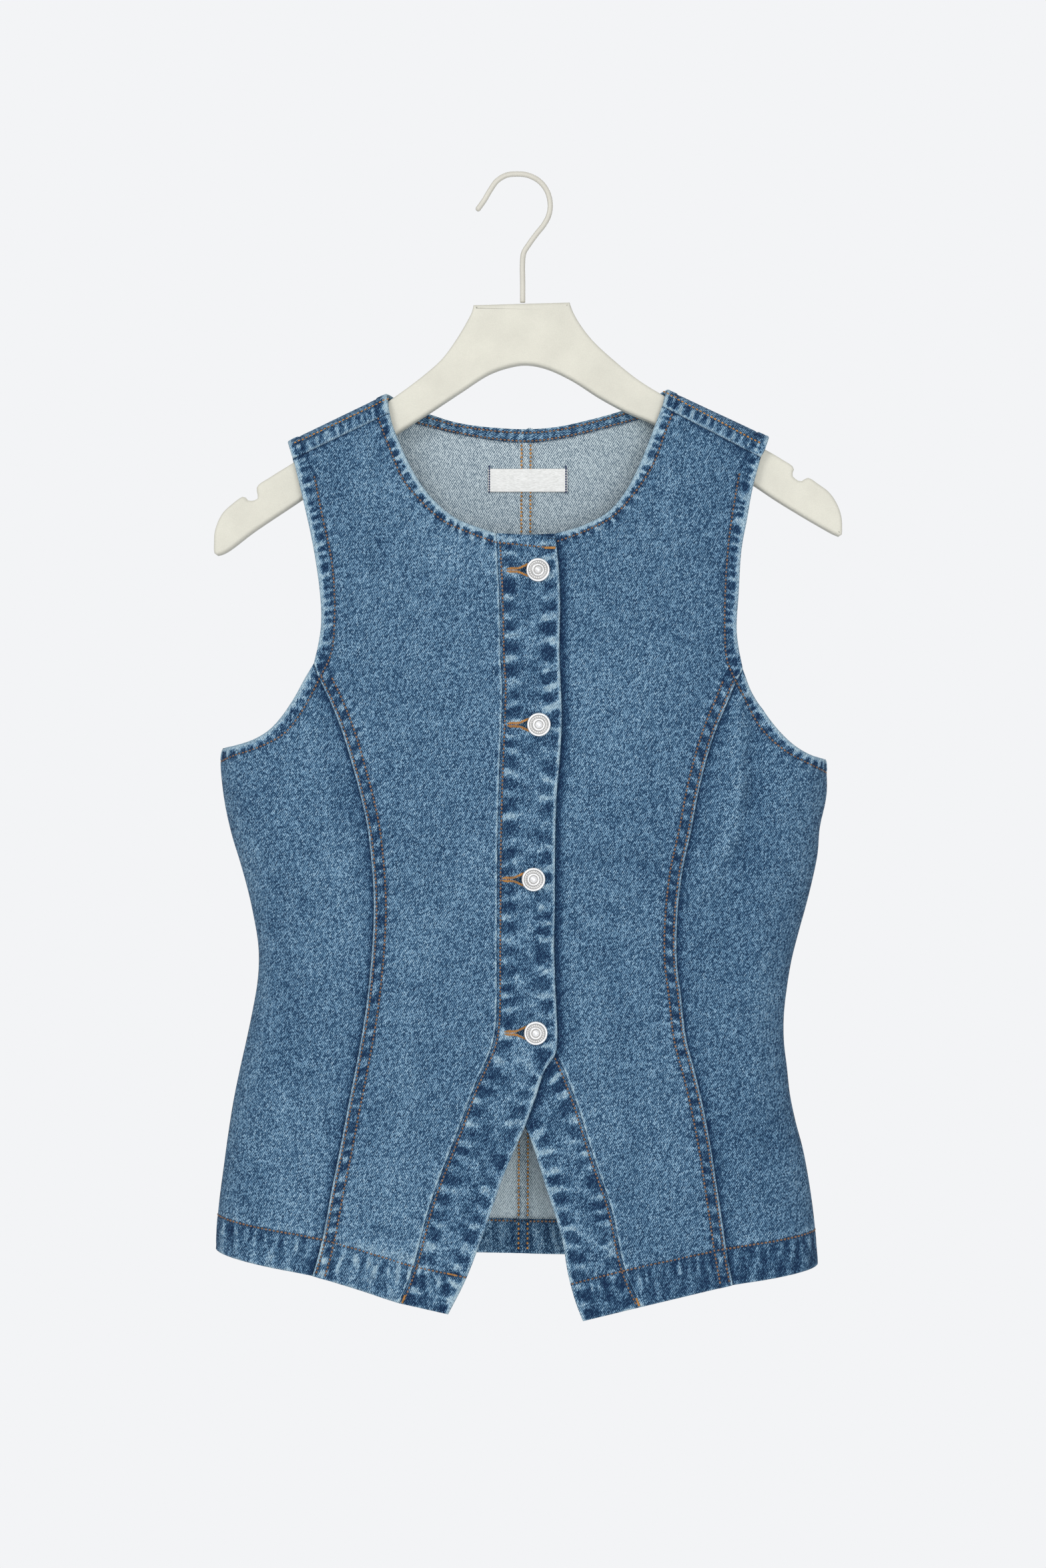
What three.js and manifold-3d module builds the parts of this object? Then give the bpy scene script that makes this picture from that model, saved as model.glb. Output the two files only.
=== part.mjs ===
// Sleeveless denim vest hanging on a moulded hanger with a wire hook.
// Millimetres, +Z up. The front faces -Y and +X is the viewer's right, so "right" below means the
// wearer's right, at negative X. The origin is where the hook hangs: the inside top of the wire.
// The cloth is a front and a back surface that meet in soft folds at the sides and on the shoulders.
// Every panel, band and strip is a grid of points on those surfaces, given a wall along the normal.
import * as THREE from "three";
import { mergeVertices } from "three/addons/utils/BufferGeometryUtils.js";
import Module from "manifold-3d";

const wasm = await Module();
wasm.setup();

// Cloth and seams
const WALL = 1.2; // one layer of denim
const BAND_WALL = 1.9; // a button band, two layers sewn together
const STRIP_WALL = 0.9; // inner strips and the turned hem
const STRIP_GAP = 0.75; // from a panel's inside to a strip
const SEAM_GAP = 0.3; // between two pieces that meet in a seam
const LAP = 2.6; // how far the overlap band stands in front of the underlap band
const LAP_RUN = 32; // width over which the right front rises to its band
const SIDE_FOLD = { front: 45, back: 40 }; // reach of the side folds
const TOP_FOLD = 12; // reach of the shoulder folds

// Buttons and buttonholes
const BUTTON_RADIUS = 7.8;
const SHANK_RADIUS = 2.2;
const TACK_RADIUS = 4.2;
const BUTTON_LIFT = 0.5; // from the band's face to the underside of the cap
const HOLE_LENGTH = 20.5; // from the far end of a buttonhole to the button's centre
const HOLE_OPEN = 2.9; // half height where the shank passes
const TACK_HOLE = 2.5; // half width of the hole in the underlap band
const BUTTONS = [
  // x, z
  [13, -265],
  [13.5, -367],
  [10, -468.5],
  [11.5, -569.5],
];

// Depth of the cloth in front of and behind the plane of the hanger
const DEPTHS = [
  // z, front at the middle, front towards the edge, back
  [-140, 10.5, 10.5, 10.5],
  [-190, 13, 11.5, 11],
  [-240, 19, 13.5, 13],
  [-300, 23, 17, 15.5],
  [-360, 27, 21, 17],
  [-430, 29, 29, 18],
  [-500, 26, 25, 15],
  [-570, 25, 23, 15.5],
  [-640, 26, 24, 17],
  [-700, 28, 25, 19],
  [-770, 31, 27, 20],
];
const BUST = { x: 80, z: -415, height: 5, across: 42, down: 62 };

// Outline and seams of the two halves, each point as x, z
const HALVES = {
  right: {
    side: [
      [-197.5, -382], [-199, -391], [-198.5, -401], [-196, -420], [-191.5, -440], [-186, -458],
      [-181, -476], [-177, -494], [-174, -512], [-173.5, -525], [-174.5, -539], [-178, -559],
      [-182, -578], [-186.5, -598], [-190.5, -618], [-194, -640], [-197, -662], [-200, -685],
      [-201.5, -702], [-201.8, -717],
    ],
    shoulder: { neck: [-85.5, -159.5], arm: [-149.5, -190] },
    fold: { x: -87, z: -145, slope: 0.484 },
    armhole: [
      [-149.5, -190], [-142, -221], [-135.5, -251], [-131, -283], [-130.5, -301], [-132.5, -315],
      [-135, -326],
    ],
    underarm: [
      [-135, -326], [-141, -336], [-147.5, -348], [-156, -361], [-165, -370.5], [-175.5, -376.5],
      [-187, -380], [-197.5, -382],
    ],
    armholeBack: [
      [-154.3, -177.5], [-151, -190], [-140, -222], [-132.5, -252], [-128, -284], [-127.5, -302],
      [-129, -317], [-133, -334], [-141, -351], [-152, -365.5], [-165, -374.5], [-180, -380],
      [-197.5, -382],
    ],
    armholeStitch: [
      [-143.5, -182.5], [-135.5, -201], [-130, -228], [-123, -262], [-121.5, -300], [-124, -321],
      [-132, -338], [-143.5, -359], [-155, -373], [-172, -382], [-188, -387], [-198.8, -391],
    ],
    princess: [
      [-135, -326], [-131.5, -336], [-123.5, -353], [-116.5, -370], [-108, -397], [-99.5, -431],
      [-96.5, -455], [-95, -483], [-96, -511], [-100, -551], [-105.5, -584], [-112.5, -620],
      [-118, -649], [-122.5, -671], [-128, -701], [-132, -718], [-135.5, -729.5],
    ],
    neck: [
      [-85.5, -159.5], [-83.5, -167.5], [-79, -179], [-70, -198], [-58.5, -215], [-42, -229.5],
      [-26, -236.5], [-14.5, -240.5],
    ],
    neckStitch: [
      [-93.5, -162], [-86, -181.5], [-76, -204.5], [-64, -219], [-49.5, -232], [-33.5, -239.5],
      [-15.5, -246.5],
    ],
    bandSeam: [
      [-14.5, -240.5], [-12.5, -281], [-11.5, -324], [-10.5, -341], [-12.5, -403], [-13.5, -441],
      [-14, -511], [-14.8, -565], [-17.5, -579], [-22.5, -591], [-28.5, -604], [-38.5, -631],
      [-57.5, -681], [-69, -723], [-78, -746.5],
    ],
    bandEdge: [
      [24.5, -242.5], [26.5, -262], [27.5, -287], [27, -318], [28.5, -363], [27, -391],
      [25, -414], [24, -455], [24, -487], [23.5, -510], [24.2, -534], [25.5, -578], [24, -584],
      [17, -595], [11, -613], [3, -634], [-8.5, -660], [-23, -701], [-34.5, -731], [-46, -753.5],
    ],
    hem: [[-135.5, -729.5], [-201.8, -717]],
  },
  left: {
    side: [
      [205.5, -389.5], [206.3, -408], [205.2, -418], [201.5, -435], [200, -452.5], [196.5, -470],
      [192, -488], [187, -506], [182.5, -524], [179.5, -542], [177.5, -560], [177.5, -577.5],
      [179.5, -595], [181.5, -613], [185.2, -631], [190, -649], [193.5, -667], [196.2, -684.5],
      [198.5, -705], [199.8, -727],
    ],
    shoulder: { neck: [95.5, -155], arm: [161, -189] },
    fold: { x: 99, z: -142.3, slope: -0.467 },
    armhole: [
      [161, -189], [155.5, -210], [152, -229], [148, -251], [146, -280], [144.5, -302],
      [145.5, -314], [148.5, -330],
    ],
    underarm: [
      [148.5, -330], [154, -344.5], [163, -359], [173, -371.5], [183, -380.5], [194, -386.5],
      [205.5, -389.5],
    ],
    armholeBack: [
      [167.7, -174.4], [162.5, -189], [155.5, -210], [150, -229], [145.5, -251], [142.5, -280],
      [141.5, -302], [142.5, -317], [145.5, -335], [151, -350], [160, -365], [170, -377],
      [182, -384.5], [193, -388.3], [205.5, -389.5],
    ],
    armholeStitch: [
      [154.5, -179.5], [147, -199], [143.5, -218], [139, -250], [136.5, -300], [138, -324],
      [142.5, -336], [151, -353], [161, -370], [174.5, -383], [190, -391.5], [206, -398.5],
    ],
    princess: [
      [148.5, -330], [143, -340], [138, -352], [128.5, -375], [119, -408], [113.5, -436],
      [107.5, -465], [104.5, -495], [104.5, -524], [107, -544], [110.5, -573], [117, -598],
      [122.5, -622], [127, -646], [130.5, -669], [134, -692], [137, -713], [141, -735.5],
    ],
    neck: [
      [95.5, -155], [92.5, -163], [86.5, -179], [79, -197], [71, -212], [59, -226],
      [42, -235], [24, -240.5],
    ],
    neckStitch: [
      [102.5, -159.5], [98, -171], [89, -194.5], [77, -213], [62.5, -229], [46, -238],
      [25, -246],
    ],
    bandSeam: [
      [24, -240.5], [22.5, -262], [22.2, -310], [22, -363], [20.5, -414], [20, -460],
      [20, -500], [21, -560], [24.5, -581], [30, -594], [39, -618], [49, -650], [61, -685],
      [70, -725], [80.5, -749.5],
    ],
    bandEdge: [
      [-12.5, -242], [-11, -283], [-9, -341], [-11, -403], [-12.5, -511], [-13.2, -562],
      [-11.5, -585], [-3, -612], [5, -632], [9.5, -643.5], [18.5, -672], [24.5, -690],
      [29, -706], [33, -729], [38, -747], [42.5, -758.5],
    ],
    hem: [[141, -735.5], [199.8, -727]],
  },
};
const BACK_NECK = [
  [-76, -152.5], [-59.5, -157.5], [-43.5, -162.5], [-25.5, -165.5], [4.5, -167.3],
  [25, -166], [47, -161.5], [73, -154], [86.5, -149],
];
const BACK_NECK_STITCH = [
  [-88, -159.5], [-66.5, -164.5], [-31.5, -172.5], [4, -176.5], [28.5, -174], [64.5, -165.5],
  [84, -160], [98, -155.5],
];
const CENTRE_BACK = [[4.5, -167.3], [2.5, -723.5]];
const UNDERARM_LEVEL = -376; // height at the centre back of the row that ends at the underarm
const HEM_DEPTH = 24;

// Label sewn inside the back
const LABEL = { x: [-20.5, 33], z: [-194, -209.5], wall: 0.7 };

// Hanger
const HANGER_THICKNESS = 11;
const HANGER_BEVEL = 2.4;
const HANGER_TOP = [
  [34.2, -84.7], [36.5, -91], [41, -99], [49.5, -110], [61.5, -121.3], [79, -135.6],
  [97.2, -147], [131, -165.5], [165, -183], [175.3, -189], [183.8, -195.2], [182.8, -200],
  [188.2, -204], [193.1, -201.6], [199.8, -205.6], [207.4, -211.4], [212.3, -218.5],
  [215.3, -226.5], [216, -233.5], [215.3, -240.4], [212, -239.6], [200.7, -233.5],
  [173.5, -217.2], [157, -206.2], [124, -185.5], [92.3, -166.4], [71.4, -157.2],
  [54.4, -148], [34.8, -135.6], [17.8, -128], [5.4, -125.8],
];
const HANGER_LEFT = [
  [-4.5, -127], [-19.2, -132], [-38.8, -144.5], [-60.7, -159], [-81.6, -172.4],
  [-113, -194], [-144.5, -215.9], [-175.7, -236.8], [-196.7, -252], [-202.2, -252.9],
  [-203, -244], [-202.4, -236.8], [-198, -226.2], [-191.3, -219.4], [-182.9, -214.1],
  [-180.2, -216.8], [-174, -215.6], [-174.4, -207.8], [-165.5, -201.2], [-151.2, -192.3],
  [-118, -171], [-85.2, -149.6], [-63.3, -133.4], [-50.8, -122.2], [-41, -108.8],
  [-33.9, -96.8], [-31, -91], [-29.9, -86.5],
];
const WIRE_RADIUS = 1.8;
const WIRE_SOCKET = 24; // how deep the wire sits in the hanger
const WIRE = [
  [2.9, -70], [2.8, -58], [3.6, -51], [7.2, -45], [12, -38.4], [17.3, -31.7], [20.4, -25.5],
  [21.3, -18], [19.2, -9.6], [13.8, -2.8], [6.4, 1], [0, 1.8], [-8, 1], [-14.3, -2.8],
  [-18.8, -9], [-22.7, -15.6], [-26.8, -21.4],
];

const PAINT = {
  denim: new THREE.MeshStandardMaterial({ color: "#5b80ad", roughness: 0.9, metalness: 0 }),
  band: new THREE.MeshStandardMaterial({ color: "#54799f", roughness: 0.9, metalness: 0 }),
  nickel: new THREE.MeshStandardMaterial({ color: "#c9c6c0", roughness: 0.3, metalness: 1 }),
  label: new THREE.MeshStandardMaterial({ color: "#f1f1ec", roughness: 0.6, metalness: 0 }),
  hanger: new THREE.MeshStandardMaterial({ color: "#e4e2d6", roughness: 0.5, metalness: 0 }),
  wire: new THREE.MeshStandardMaterial({ color: "#ddd9cc", roughness: 0.4, metalness: 0 }),
};

const lerp = THREE.MathUtils.lerp;
const smooth = (x) => THREE.MathUtils.smoothstep(x, 0, 1);

// A smooth value read from a table of rows whose first column rises or falls steadily.
function read(rows, column, at) {
  const down = rows[0][0] > rows[rows.length - 1][0] ? -1 : 1;
  let i = 0;
  while (i < rows.length - 2 && down * (at - rows[i + 1][0]) > 0) i++;
  const [a, b] = [rows[i], rows[i + 1]];
  const before = rows[Math.max(i - 1, 0)];
  const after = rows[Math.min(i + 2, rows.length - 1)];
  const span = b[0] - a[0];
  const t = THREE.MathUtils.clamp((at - a[0]) / span, 0, 1);
  const slopeA = ((b[column] - before[column]) / (b[0] - before[0])) * span;
  const slopeB = ((after[column] - a[column]) / (after[0] - a[0])) * span;
  return (
    (2 * t ** 3 - 3 * t ** 2 + 1) * a[column] +
    (t ** 3 - 2 * t ** 2 + t) * slopeA +
    (3 * t ** 2 - 2 * t ** 3) * b[column] +
    (t ** 3 - t ** 2) * slopeB
  );
}

const turned = (points) => points.map(([x, z]) => [z, x]);
const SIDE_LINE = { right: turned(HALVES.right.side), left: turned(HALVES.left.side) };
const SEAM_LINE = turned(HALVES.right.bandSeam);

// Distance from a point on the cloth in to the side fold, and down to the shoulder fold.
function toSide(x, z) {
  const half = x < 0 ? "right" : "left";
  return Math.abs(read(SIDE_LINE[half], 1, z)) - Math.abs(x);
}
const shoulderLine = (x) =>
  Math.min(
    HALVES.right.fold.z + HALVES.right.fold.slope * (x - HALVES.right.fold.x),
    HALVES.left.fold.z + HALVES.left.fold.slope * (x - HALVES.left.fold.x),
  );

// How far the cloth stands from the hanger's plane, away from its folds. The right front also
// rises to its band.
function depth(x, z, sign, lap) {
  if (sign > 0) return read(DEPTHS, 3, z);
  const towardsEdge = Math.min(1, (x / 150) ** 2);
  const across = (Math.abs(x) - BUST.x) / BUST.across;
  const down = (z - BUST.z) / BUST.down;
  const bust = BUST.height * Math.exp(-across * across - down * down);
  const rise = lap ? LAP * smooth((x - read(SEAM_LINE, 1, z) + LAP_RUN) / LAP_RUN) : 0;
  return lerp(read(DEPTHS, 1, z), read(DEPTHS, 2, z), towardsEdge) + bust + rise;
}

// One at full depth, falling to zero on a fold as the square of an ellipse's height does.
function fullness(x, z, sign) {
  const reach = sign > 0 ? SIDE_FOLD.back : SIDE_FOLD.front;
  const fold = (distance, width) => 1 - (1 - Math.min(distance, width) / width) ** 2;
  return fold(toSide(x, z), reach) * fold(shoulderLine(x) - z, TOP_FOLD);
}

// The point of the cloth's outer face at x, z on the front (sign -1) or the back (sign 1).
function onCloth({ x, z, sign, lap }) {
  const y = sign * depth(x, z, sign, lap) * Math.sqrt(Math.max(0, fullness(x, z, sign)));
  return new THREE.Vector3(x, y, z);
}

// The outward direction there, from the slope of (y / depth)^2 - fullness.
function outward({ x, z, sign, lap }, y) {
  const h = 0.05;
  const level = (a, b, c) => (b / depth(a, c, sign, lap)) ** 2 - fullness(a, c, sign);
  return new THREE.Vector3(
    level(x + h, y, z) - level(x - h, y, z),
    level(x, y + h, z) - level(x, y - h, z),
    level(x, y, z + h) - level(x, y, z - h),
  ).normalize();
}

// Over a shoulder a point is x and t: t runs down the back from the fold, or is negative down the
// front, and is evenly spaced on the cloth inside the fold.
function overShoulder(x, t) {
  const s = Math.abs(t);
  const down = s < TOP_FOLD ? TOP_FOLD * (1 - Math.cos((Math.PI * s) / (2 * TOP_FOLD))) : s;
  return { x, z: shoulderLine(x) - down, sign: t < 0 ? -1 : 1 };
}
function shoulderT(x, z, sign) {
  const down = Math.max(0, shoulderLine(x) - z);
  const bent = (2 * TOP_FOLD * Math.acos(Math.max(-1, 1 - down / TOP_FOLD))) / Math.PI;
  return sign * (down < TOP_FOLD ? bent : down);
}

// A smooth curve through points of two numbers each, as a function of 0 to 1.
function through(points) {
  const curve = new THREE.CatmullRomCurve3(
    points.map(([a, b]) => new THREE.Vector3(a, b, 0)),
    false,
    "centripetal",
  );
  return (t) => {
    const p = curve.getPoint(t);
    return [p.x, p.y];
  };
}

// Points along a curve of places on the cloth, spaced by length and more closely where it bends.
function stations(place, count, perBend = 30) {
  const fine = 600;
  const at = [];
  let sum = 0;
  let last = null;
  for (let i = 0; i <= fine; i++) {
    const spot = place(i / fine);
    const point = onCloth(spot);
    const normal = outward(spot, point.y);
    const step = last ? point.clone().sub(last.point) : null;
    if (last) sum += step.length() + perBend * normal.angleTo(last.normal);
    if (last?.step) sum += perBend * step.angleTo(last.step);
    last = { point, normal, step };
    at.push(sum);
  }
  const list = [];
  let j = 0;
  for (let k = 0; k <= count; k++) {
    const want = (sum * k) / count;
    while (j < fine - 1 && at[j + 1] < want) j++;
    const part = THREE.MathUtils.clamp((want - at[j]) / (at[j + 1] - at[j] || 1), 0, 1);
    list.push(place((j + part) / fine));
  }
  return list;
}
const flat = (points, sign, lap = false) => {
  const curve = through(points);
  return (t) => {
    const [x, z] = curve(t);
    return { x, z, sign, lap };
  };
};
const draped = (points) => {
  const curve = through(points);
  return (t) => overShoulder(...curve(t));
};

// A closed wall from a grid of places (rows of columns). The outer face lies inset from the cloth
// and the inner one a wall deeper. Cells named by hole are left open, and ring joins the last row
// to the first.
function wall(grid, { thickness = WALL, inset = 0, hole = () => false, ring = false, sew } = {}) {
  const rows = grid.length;
  const columns = grid[0].length;
  const position = [];
  for (const deep of [inset, inset + thickness]) {
    for (const row of grid) {
      for (const spot of row) {
        const p = onCloth(spot);
        const n = outward(spot, p.y);
        if (sew && toSide(spot.x, spot.z) < 0.4) p.y = (spot.sign * SEAM_GAP) / 2;
        p.addScaledVector(n, -deep);
        position.push(p.x, p.y, p.z);
      }
    }
  }
  const top = (j, i) => (j % rows) * columns + i;
  const under = (j, i) => top(j, i) + rows * columns;
  const kept = (j, i) => {
    if (i < 0 || i >= columns - 1) return false;
    if (ring) return !hole((j + rows) % rows, i);
    return j >= 0 && j < rows - 1 && !hole(j, i);
  };
  const index = [];
  const quad = (a, b, c, d) => index.push(a, b, c, a, c, d);
  for (let j = 0; j < (ring ? rows : rows - 1); j++) {
    for (let i = 0; i < columns - 1; i++) {
      if (!kept(j, i)) continue;
      quad(top(j, i), top(j, i + 1), top(j + 1, i + 1), top(j + 1, i));
      quad(under(j, i), under(j + 1, i), under(j + 1, i + 1), under(j, i + 1));
      if (!kept(j - 1, i)) quad(top(j, i), under(j, i), under(j, i + 1), top(j, i + 1));
      if (!kept(j + 1, i))
        quad(top(j + 1, i + 1), under(j + 1, i + 1), under(j + 1, i), top(j + 1, i));
      if (!kept(j, i - 1)) quad(top(j, i), top(j + 1, i), under(j + 1, i), under(j, i));
      if (!kept(j, i + 1))
        quad(top(j, i + 1), under(j, i + 1), under(j + 1, i + 1), top(j + 1, i + 1));
    }
  }
  return closed(position, index);
}

// An indexed geometry with its faces turned outward.
function closed(position, index) {
  let volume = 0;
  const p = (i) => new THREE.Vector3().fromArray(position, 3 * i);
  for (let i = 0; i < index.length; i += 3) {
    volume += p(index[i]).dot(p(index[i + 1]).cross(p(index[i + 2])));
  }
  if (volume < 0) {
    for (let i = 0; i < index.length; i += 3) {
      [index[i + 1], index[i + 2]] = [index[i + 2], index[i + 1]];
    }
  }
  const used = [...new Set(index)];
  const renamed = new Map(used.map((old, now) => [old, now]));
  const geometry = new THREE.BufferGeometry();
  const packed = used.flatMap((i) => position.slice(3 * i, 3 * i + 3));
  geometry.setAttribute("position", new THREE.Float32BufferAttribute(packed, 3));
  geometry.setIndex(index.map((i) => renamed.get(i)));
  geometry.computeVertexNormals();
  return geometry;
}

// Rows from one boundary to the other. Both have the same number of places; gaps is how much
// comes off at each end for a seam, and crowd packs the columns towards the second boundary.
function between(from, to, columns, { gaps = [0, 0], crowd = false, shift = () => 0 } = {}) {
  return from.map((a, j) => {
    const b = to[j];
    const width = Math.abs(b.x - a.x);
    const start = gaps[0] / width;
    const end = 1 - gaps[1] / width;
    const row = [];
    for (let i = 0; i <= columns; i++) {
      const even = i / columns;
      const w = lerp(start, end, crowd ? Math.sin((even * Math.PI) / 2) : even);
      row.push({
        x: lerp(a.x, b.x, w),
        z: lerp(a.z, b.z, w) + shift(j / (from.length - 1), w),
        sign: a.sign,
        lap: a.lap,
      });
    }
    return row;
  });
}

const LOW = 14; // rows from the hem to the underarm, one for each step of a band seam
const ARM = 8; // rows up an armhole
const UNDER = 10; // rows of the back from the underarm to the middle of the armhole
const FOLD_ROWS = 8; // rows over a shoulder fold
const group = new THREE.Group();
function add(name, geometry, paint) {
  const mesh = new THREE.Mesh(geometry, paint);
  mesh.name = name;
  group.add(mesh);
  return mesh;
}

// Front panels. The centre one runs from the princess seam and armhole to the band seam and neck;
// the side one from the princess seam to the side fold, its top cut by the underarm curve.
function frontPanels(name) {
  const half = HALVES[name];
  const lap = name === "right";
  const princess = stations(flat([...half.princess].reverse(), -1, lap), LOW);
  const arm = stations(flat([...half.armhole].reverse(), -1, lap), ARM);
  const seam = [...half.bandSeam].reverse().map(([x, z]) => ({ x, z, sign: -1, lap }));
  const neck = stations(flat([...half.neck].reverse(), -1, lap), ARM);
  const outer = [...princess, ...arm.slice(1)];
  const inner = [...seam, ...neck.slice(1)];
  const centre = between(outer, inner, 8, { gaps: [SEAM_GAP / 2, SEAM_GAP / 2] });
  const drop = SEAM_GAP / 2;
  for (const spot of centre[centre.length - 1]) spot.z -= drop;
  add(`front_${name}`, wall(centre), PAINT.denim);

  const side = stations(flat([...half.side].reverse(), -1), LOW);
  const arc = through(half.underarm);
  const [from, to] = [half.underarm[0], half.underarm[half.underarm.length - 1]];
  const sag = (w) => {
    const want = lerp(from[0], to[0], w);
    let [low, high] = [0, 1];
    for (let k = 0; k < 30; k++) {
      const middle = (low + high) / 2;
      if (Math.abs(arc(middle)[0]) < Math.abs(want)) low = middle;
      else high = middle;
    }
    return arc(low)[1] - lerp(from[1], to[1], w);
  };
  const bottom = princess.map((spot) => ({ ...spot, lap: false }));
  const panel = between(bottom, side, 10, {
    gaps: [SEAM_GAP / 2, 0],
    crowd: true,
    shift: (v, w) => v * v * sag(w),
  });
  add(`side_${name}`, wall(panel, { sew: true }), PAINT.denim);
}

// Back panel: up the side and the armhole on one edge, up the centre and round the neck on the
// other, then over the shoulder fold to the seam in front of it. Its rows stay level up to the
// underarm, then climb to the corner of the centre seam and the neck.
function backPanel(name) {
  const half = HALVES[name];
  const toward = name === "right" ? -1 : 1;
  const [top, bottom] = CENTRE_BACK;
  const share = (UNDERARM_LEVEL - bottom[1]) / (top[1] - bottom[1]);
  const level = [lerp(bottom[0], top[0], share), UNDERARM_LEVEL];
  const low = stations(flat([...half.side].reverse(), 1), LOW);
  const middle = stations(flat([bottom, level], 1), LOW);
  const upper = stations(flat([level, top], 1), UNDER);
  const neckLine = toward < 0 ? BACK_NECK.slice(0, 5).reverse() : BACK_NECK.slice(4);
  const inT = (points) => points.map(([x, z]) => [x, shoulderT(x, z, 1)]);
  const armUp = inT([...half.armholeBack].reverse().slice(0, -1));
  const neckUp = inT(neckLine);
  const frontT = ([x, z]) => shoulderT(x, z, -1) + SEAM_GAP / 2;
  const armFold = half.armholeBack[0];
  const turn = half.armholeBack.length - 1 - half.armholeBack.findLastIndex(([, z]) => z > -290);
  const under = stations(draped(armUp.slice(0, turn + 1)), UNDER);
  const arm = stations(draped(armUp.slice(turn)), ARM);
  const neck = stations(draped(neckUp), ARM);
  const armTop = [armUp[armUp.length - 1], [armFold[0], 0]];
  const neckTop = [neckUp[neckUp.length - 1], [half.fold.x + 0.5 * toward, 0]];
  armTop.push([half.shoulder.arm[0], frontT(half.shoulder.arm)]);
  neckTop.push([half.shoulder.neck[0], frontT(half.shoulder.neck)]);
  const fold = (line) => stations(draped(line), FOLD_ROWS).slice(1);
  const outer = [...low, ...under.slice(1), ...arm.slice(1), ...fold(armTop)];
  const inner = [...middle, ...upper.slice(1), ...neck.slice(1), ...fold(neckTop)];
  const asT = (spot) => ({ ...spot, z: shoulderT(spot.x, spot.z, spot.sign) });
  const rows = between(inner.map(asT), outer.map(asT), 12, {
    gaps: [SEAM_GAP / 2, 0],
    crowd: true,
  });
  const grid = rows.map((row) => row.map((spot) => overShoulder(spot.x, spot.z)));
  add(`back_${name}`, wall(grid, { sew: true }), PAINT.denim);
}

// Button bands. Columns are x at each height, rows follow the seam and the free edge.
function buttonX(z) {
  return read(BUTTONS.map(([x, at]) => [at, x]), 1, z);
}
function bandRows(half, cuts) {
  const seam = turned(half.bandSeam);
  const edge = turned(half.bandEdge);
  const bend = -575;
  const heights = [...seam.map((s) => s[0]).filter((z) => z > bend && z < -244), ...cuts];
  heights.sort((a, b) => b - a);
  const upper = heights.map((z) => [z, z]);
  const seamTop = half.bandSeam[0][1];
  const edgeTop = half.bandEdge[0][1];
  const seamEnd = half.bandSeam[half.bandSeam.length - 1][1];
  const edgeEnd = half.bandEdge[half.bandEdge.length - 1][1];
  const lower = seam
    .map((s) => s[0])
    .filter((z) => z < bend)
    .map((z) => [z, lerp(bend - 2, edgeEnd, (bend - z) / (bend - seamEnd))]);
  const on = (rows, z) => {
    let i = 0;
    while (i < rows.length - 2 && rows[i + 1][0] > z) i++;
    return lerp(rows[i][1], rows[i + 1][1], (z - rows[i][0]) / (rows[i + 1][0] - rows[i][0]));
  };
  return [[seamTop, edgeTop], ...upper, [bend, bend - 2], ...lower].map(([zs, ze]) => ({
    seam: [on(seam, zs), zs],
    edge: [read(edge, 1, ze), ze],
    straight: zs > bend,
  }));
}
function overlapBand() {
  const cuts = BUTTONS.flatMap(([, z]) => [z + HOLE_OPEN, z, z - HOLE_OPEN]);
  const rows = bandRows(HALVES.right, cuts);
  const grid = rows.map(({ seam, edge, straight }) => {
    const [a, b] = [seam[0] + SEAM_GAP / 2, edge[0]];
    const z = seam[1];
    const shares = straight
      ? [-HOLE_LENGTH, -HOLE_LENGTH + 11, 3].map((x) => (buttonX(z) + x - a) / (b - a))
      : [0.15, 0.44, 0.76];
    return [0, ...shares, 1].map((w) => ({
      x: lerp(a, b, w),
      z: lerp(seam[1], edge[1], w),
      sign: -1,
      lap: true,
    }));
  });
  const isCut = rows.map(({ seam }) => cuts.findIndex((z) => Math.abs(z - seam[1]) < 1e-6));
  isCut.forEach((cut, j) => {
    if (cut < 0) return;
    const narrow = cut % 3 === 0 ? -HOLE_OPEN + 0.6 : cut % 3 === 2 ? HOLE_OPEN - 0.6 : 0;
    grid[j][1].z += narrow;
  });
  const hole = (j, i) => (i === 1 || i === 2) && isCut[j] >= 0 && isCut[j] % 3 < 2;
  add("front_band_right", wall(grid, { thickness: BAND_WALL, hole }), PAINT.band);
}
function underlapBand() {
  const cuts = BUTTONS.flatMap(([, z]) => [z + TACK_HOLE, z - TACK_HOLE]);
  const rows = bandRows(HALVES.left, cuts);
  const grid = rows.map(({ seam, edge, straight }) => {
    const [a, b] = [edge[0], seam[0] - SEAM_GAP / 2];
    const z = seam[1];
    const shares = straight
      ? [-TACK_HOLE, TACK_HOLE].map((x) => (buttonX(z) + x - a) / (b - a))
      : [0.62, 0.78];
    return [0, ...shares, 1].map((w) => ({
      x: lerp(a, b, w),
      z: lerp(edge[1], seam[1], w),
      sign: -1,
      lap: false,
    }));
  });
  const isCut = rows.map(({ seam }) => cuts.findIndex((z) => Math.abs(z - seam[1]) < 1e-6));
  const hole = (j, i) => i === 1 && isCut[j] >= 0 && isCut[j] % 2 === 0;
  add("front_band_left", wall(grid, { thickness: BAND_WALL, hole }), PAINT.band);
}

// Strips inside the edges: each is a pair of lines on the cloth, the edge and its stitching.
const strip = (edge, line) => edge.map((spot, j) => [spot, line[j]]);
const stripWall = { thickness: STRIP_WALL, inset: WALL + STRIP_GAP };
const frontT = (points) => points.map(([x, z]) => [x, shoulderT(x, z, -1)]);
const backT = (points) => points.map(([x, z]) => [x, shoulderT(x, z, 1)]);

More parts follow.
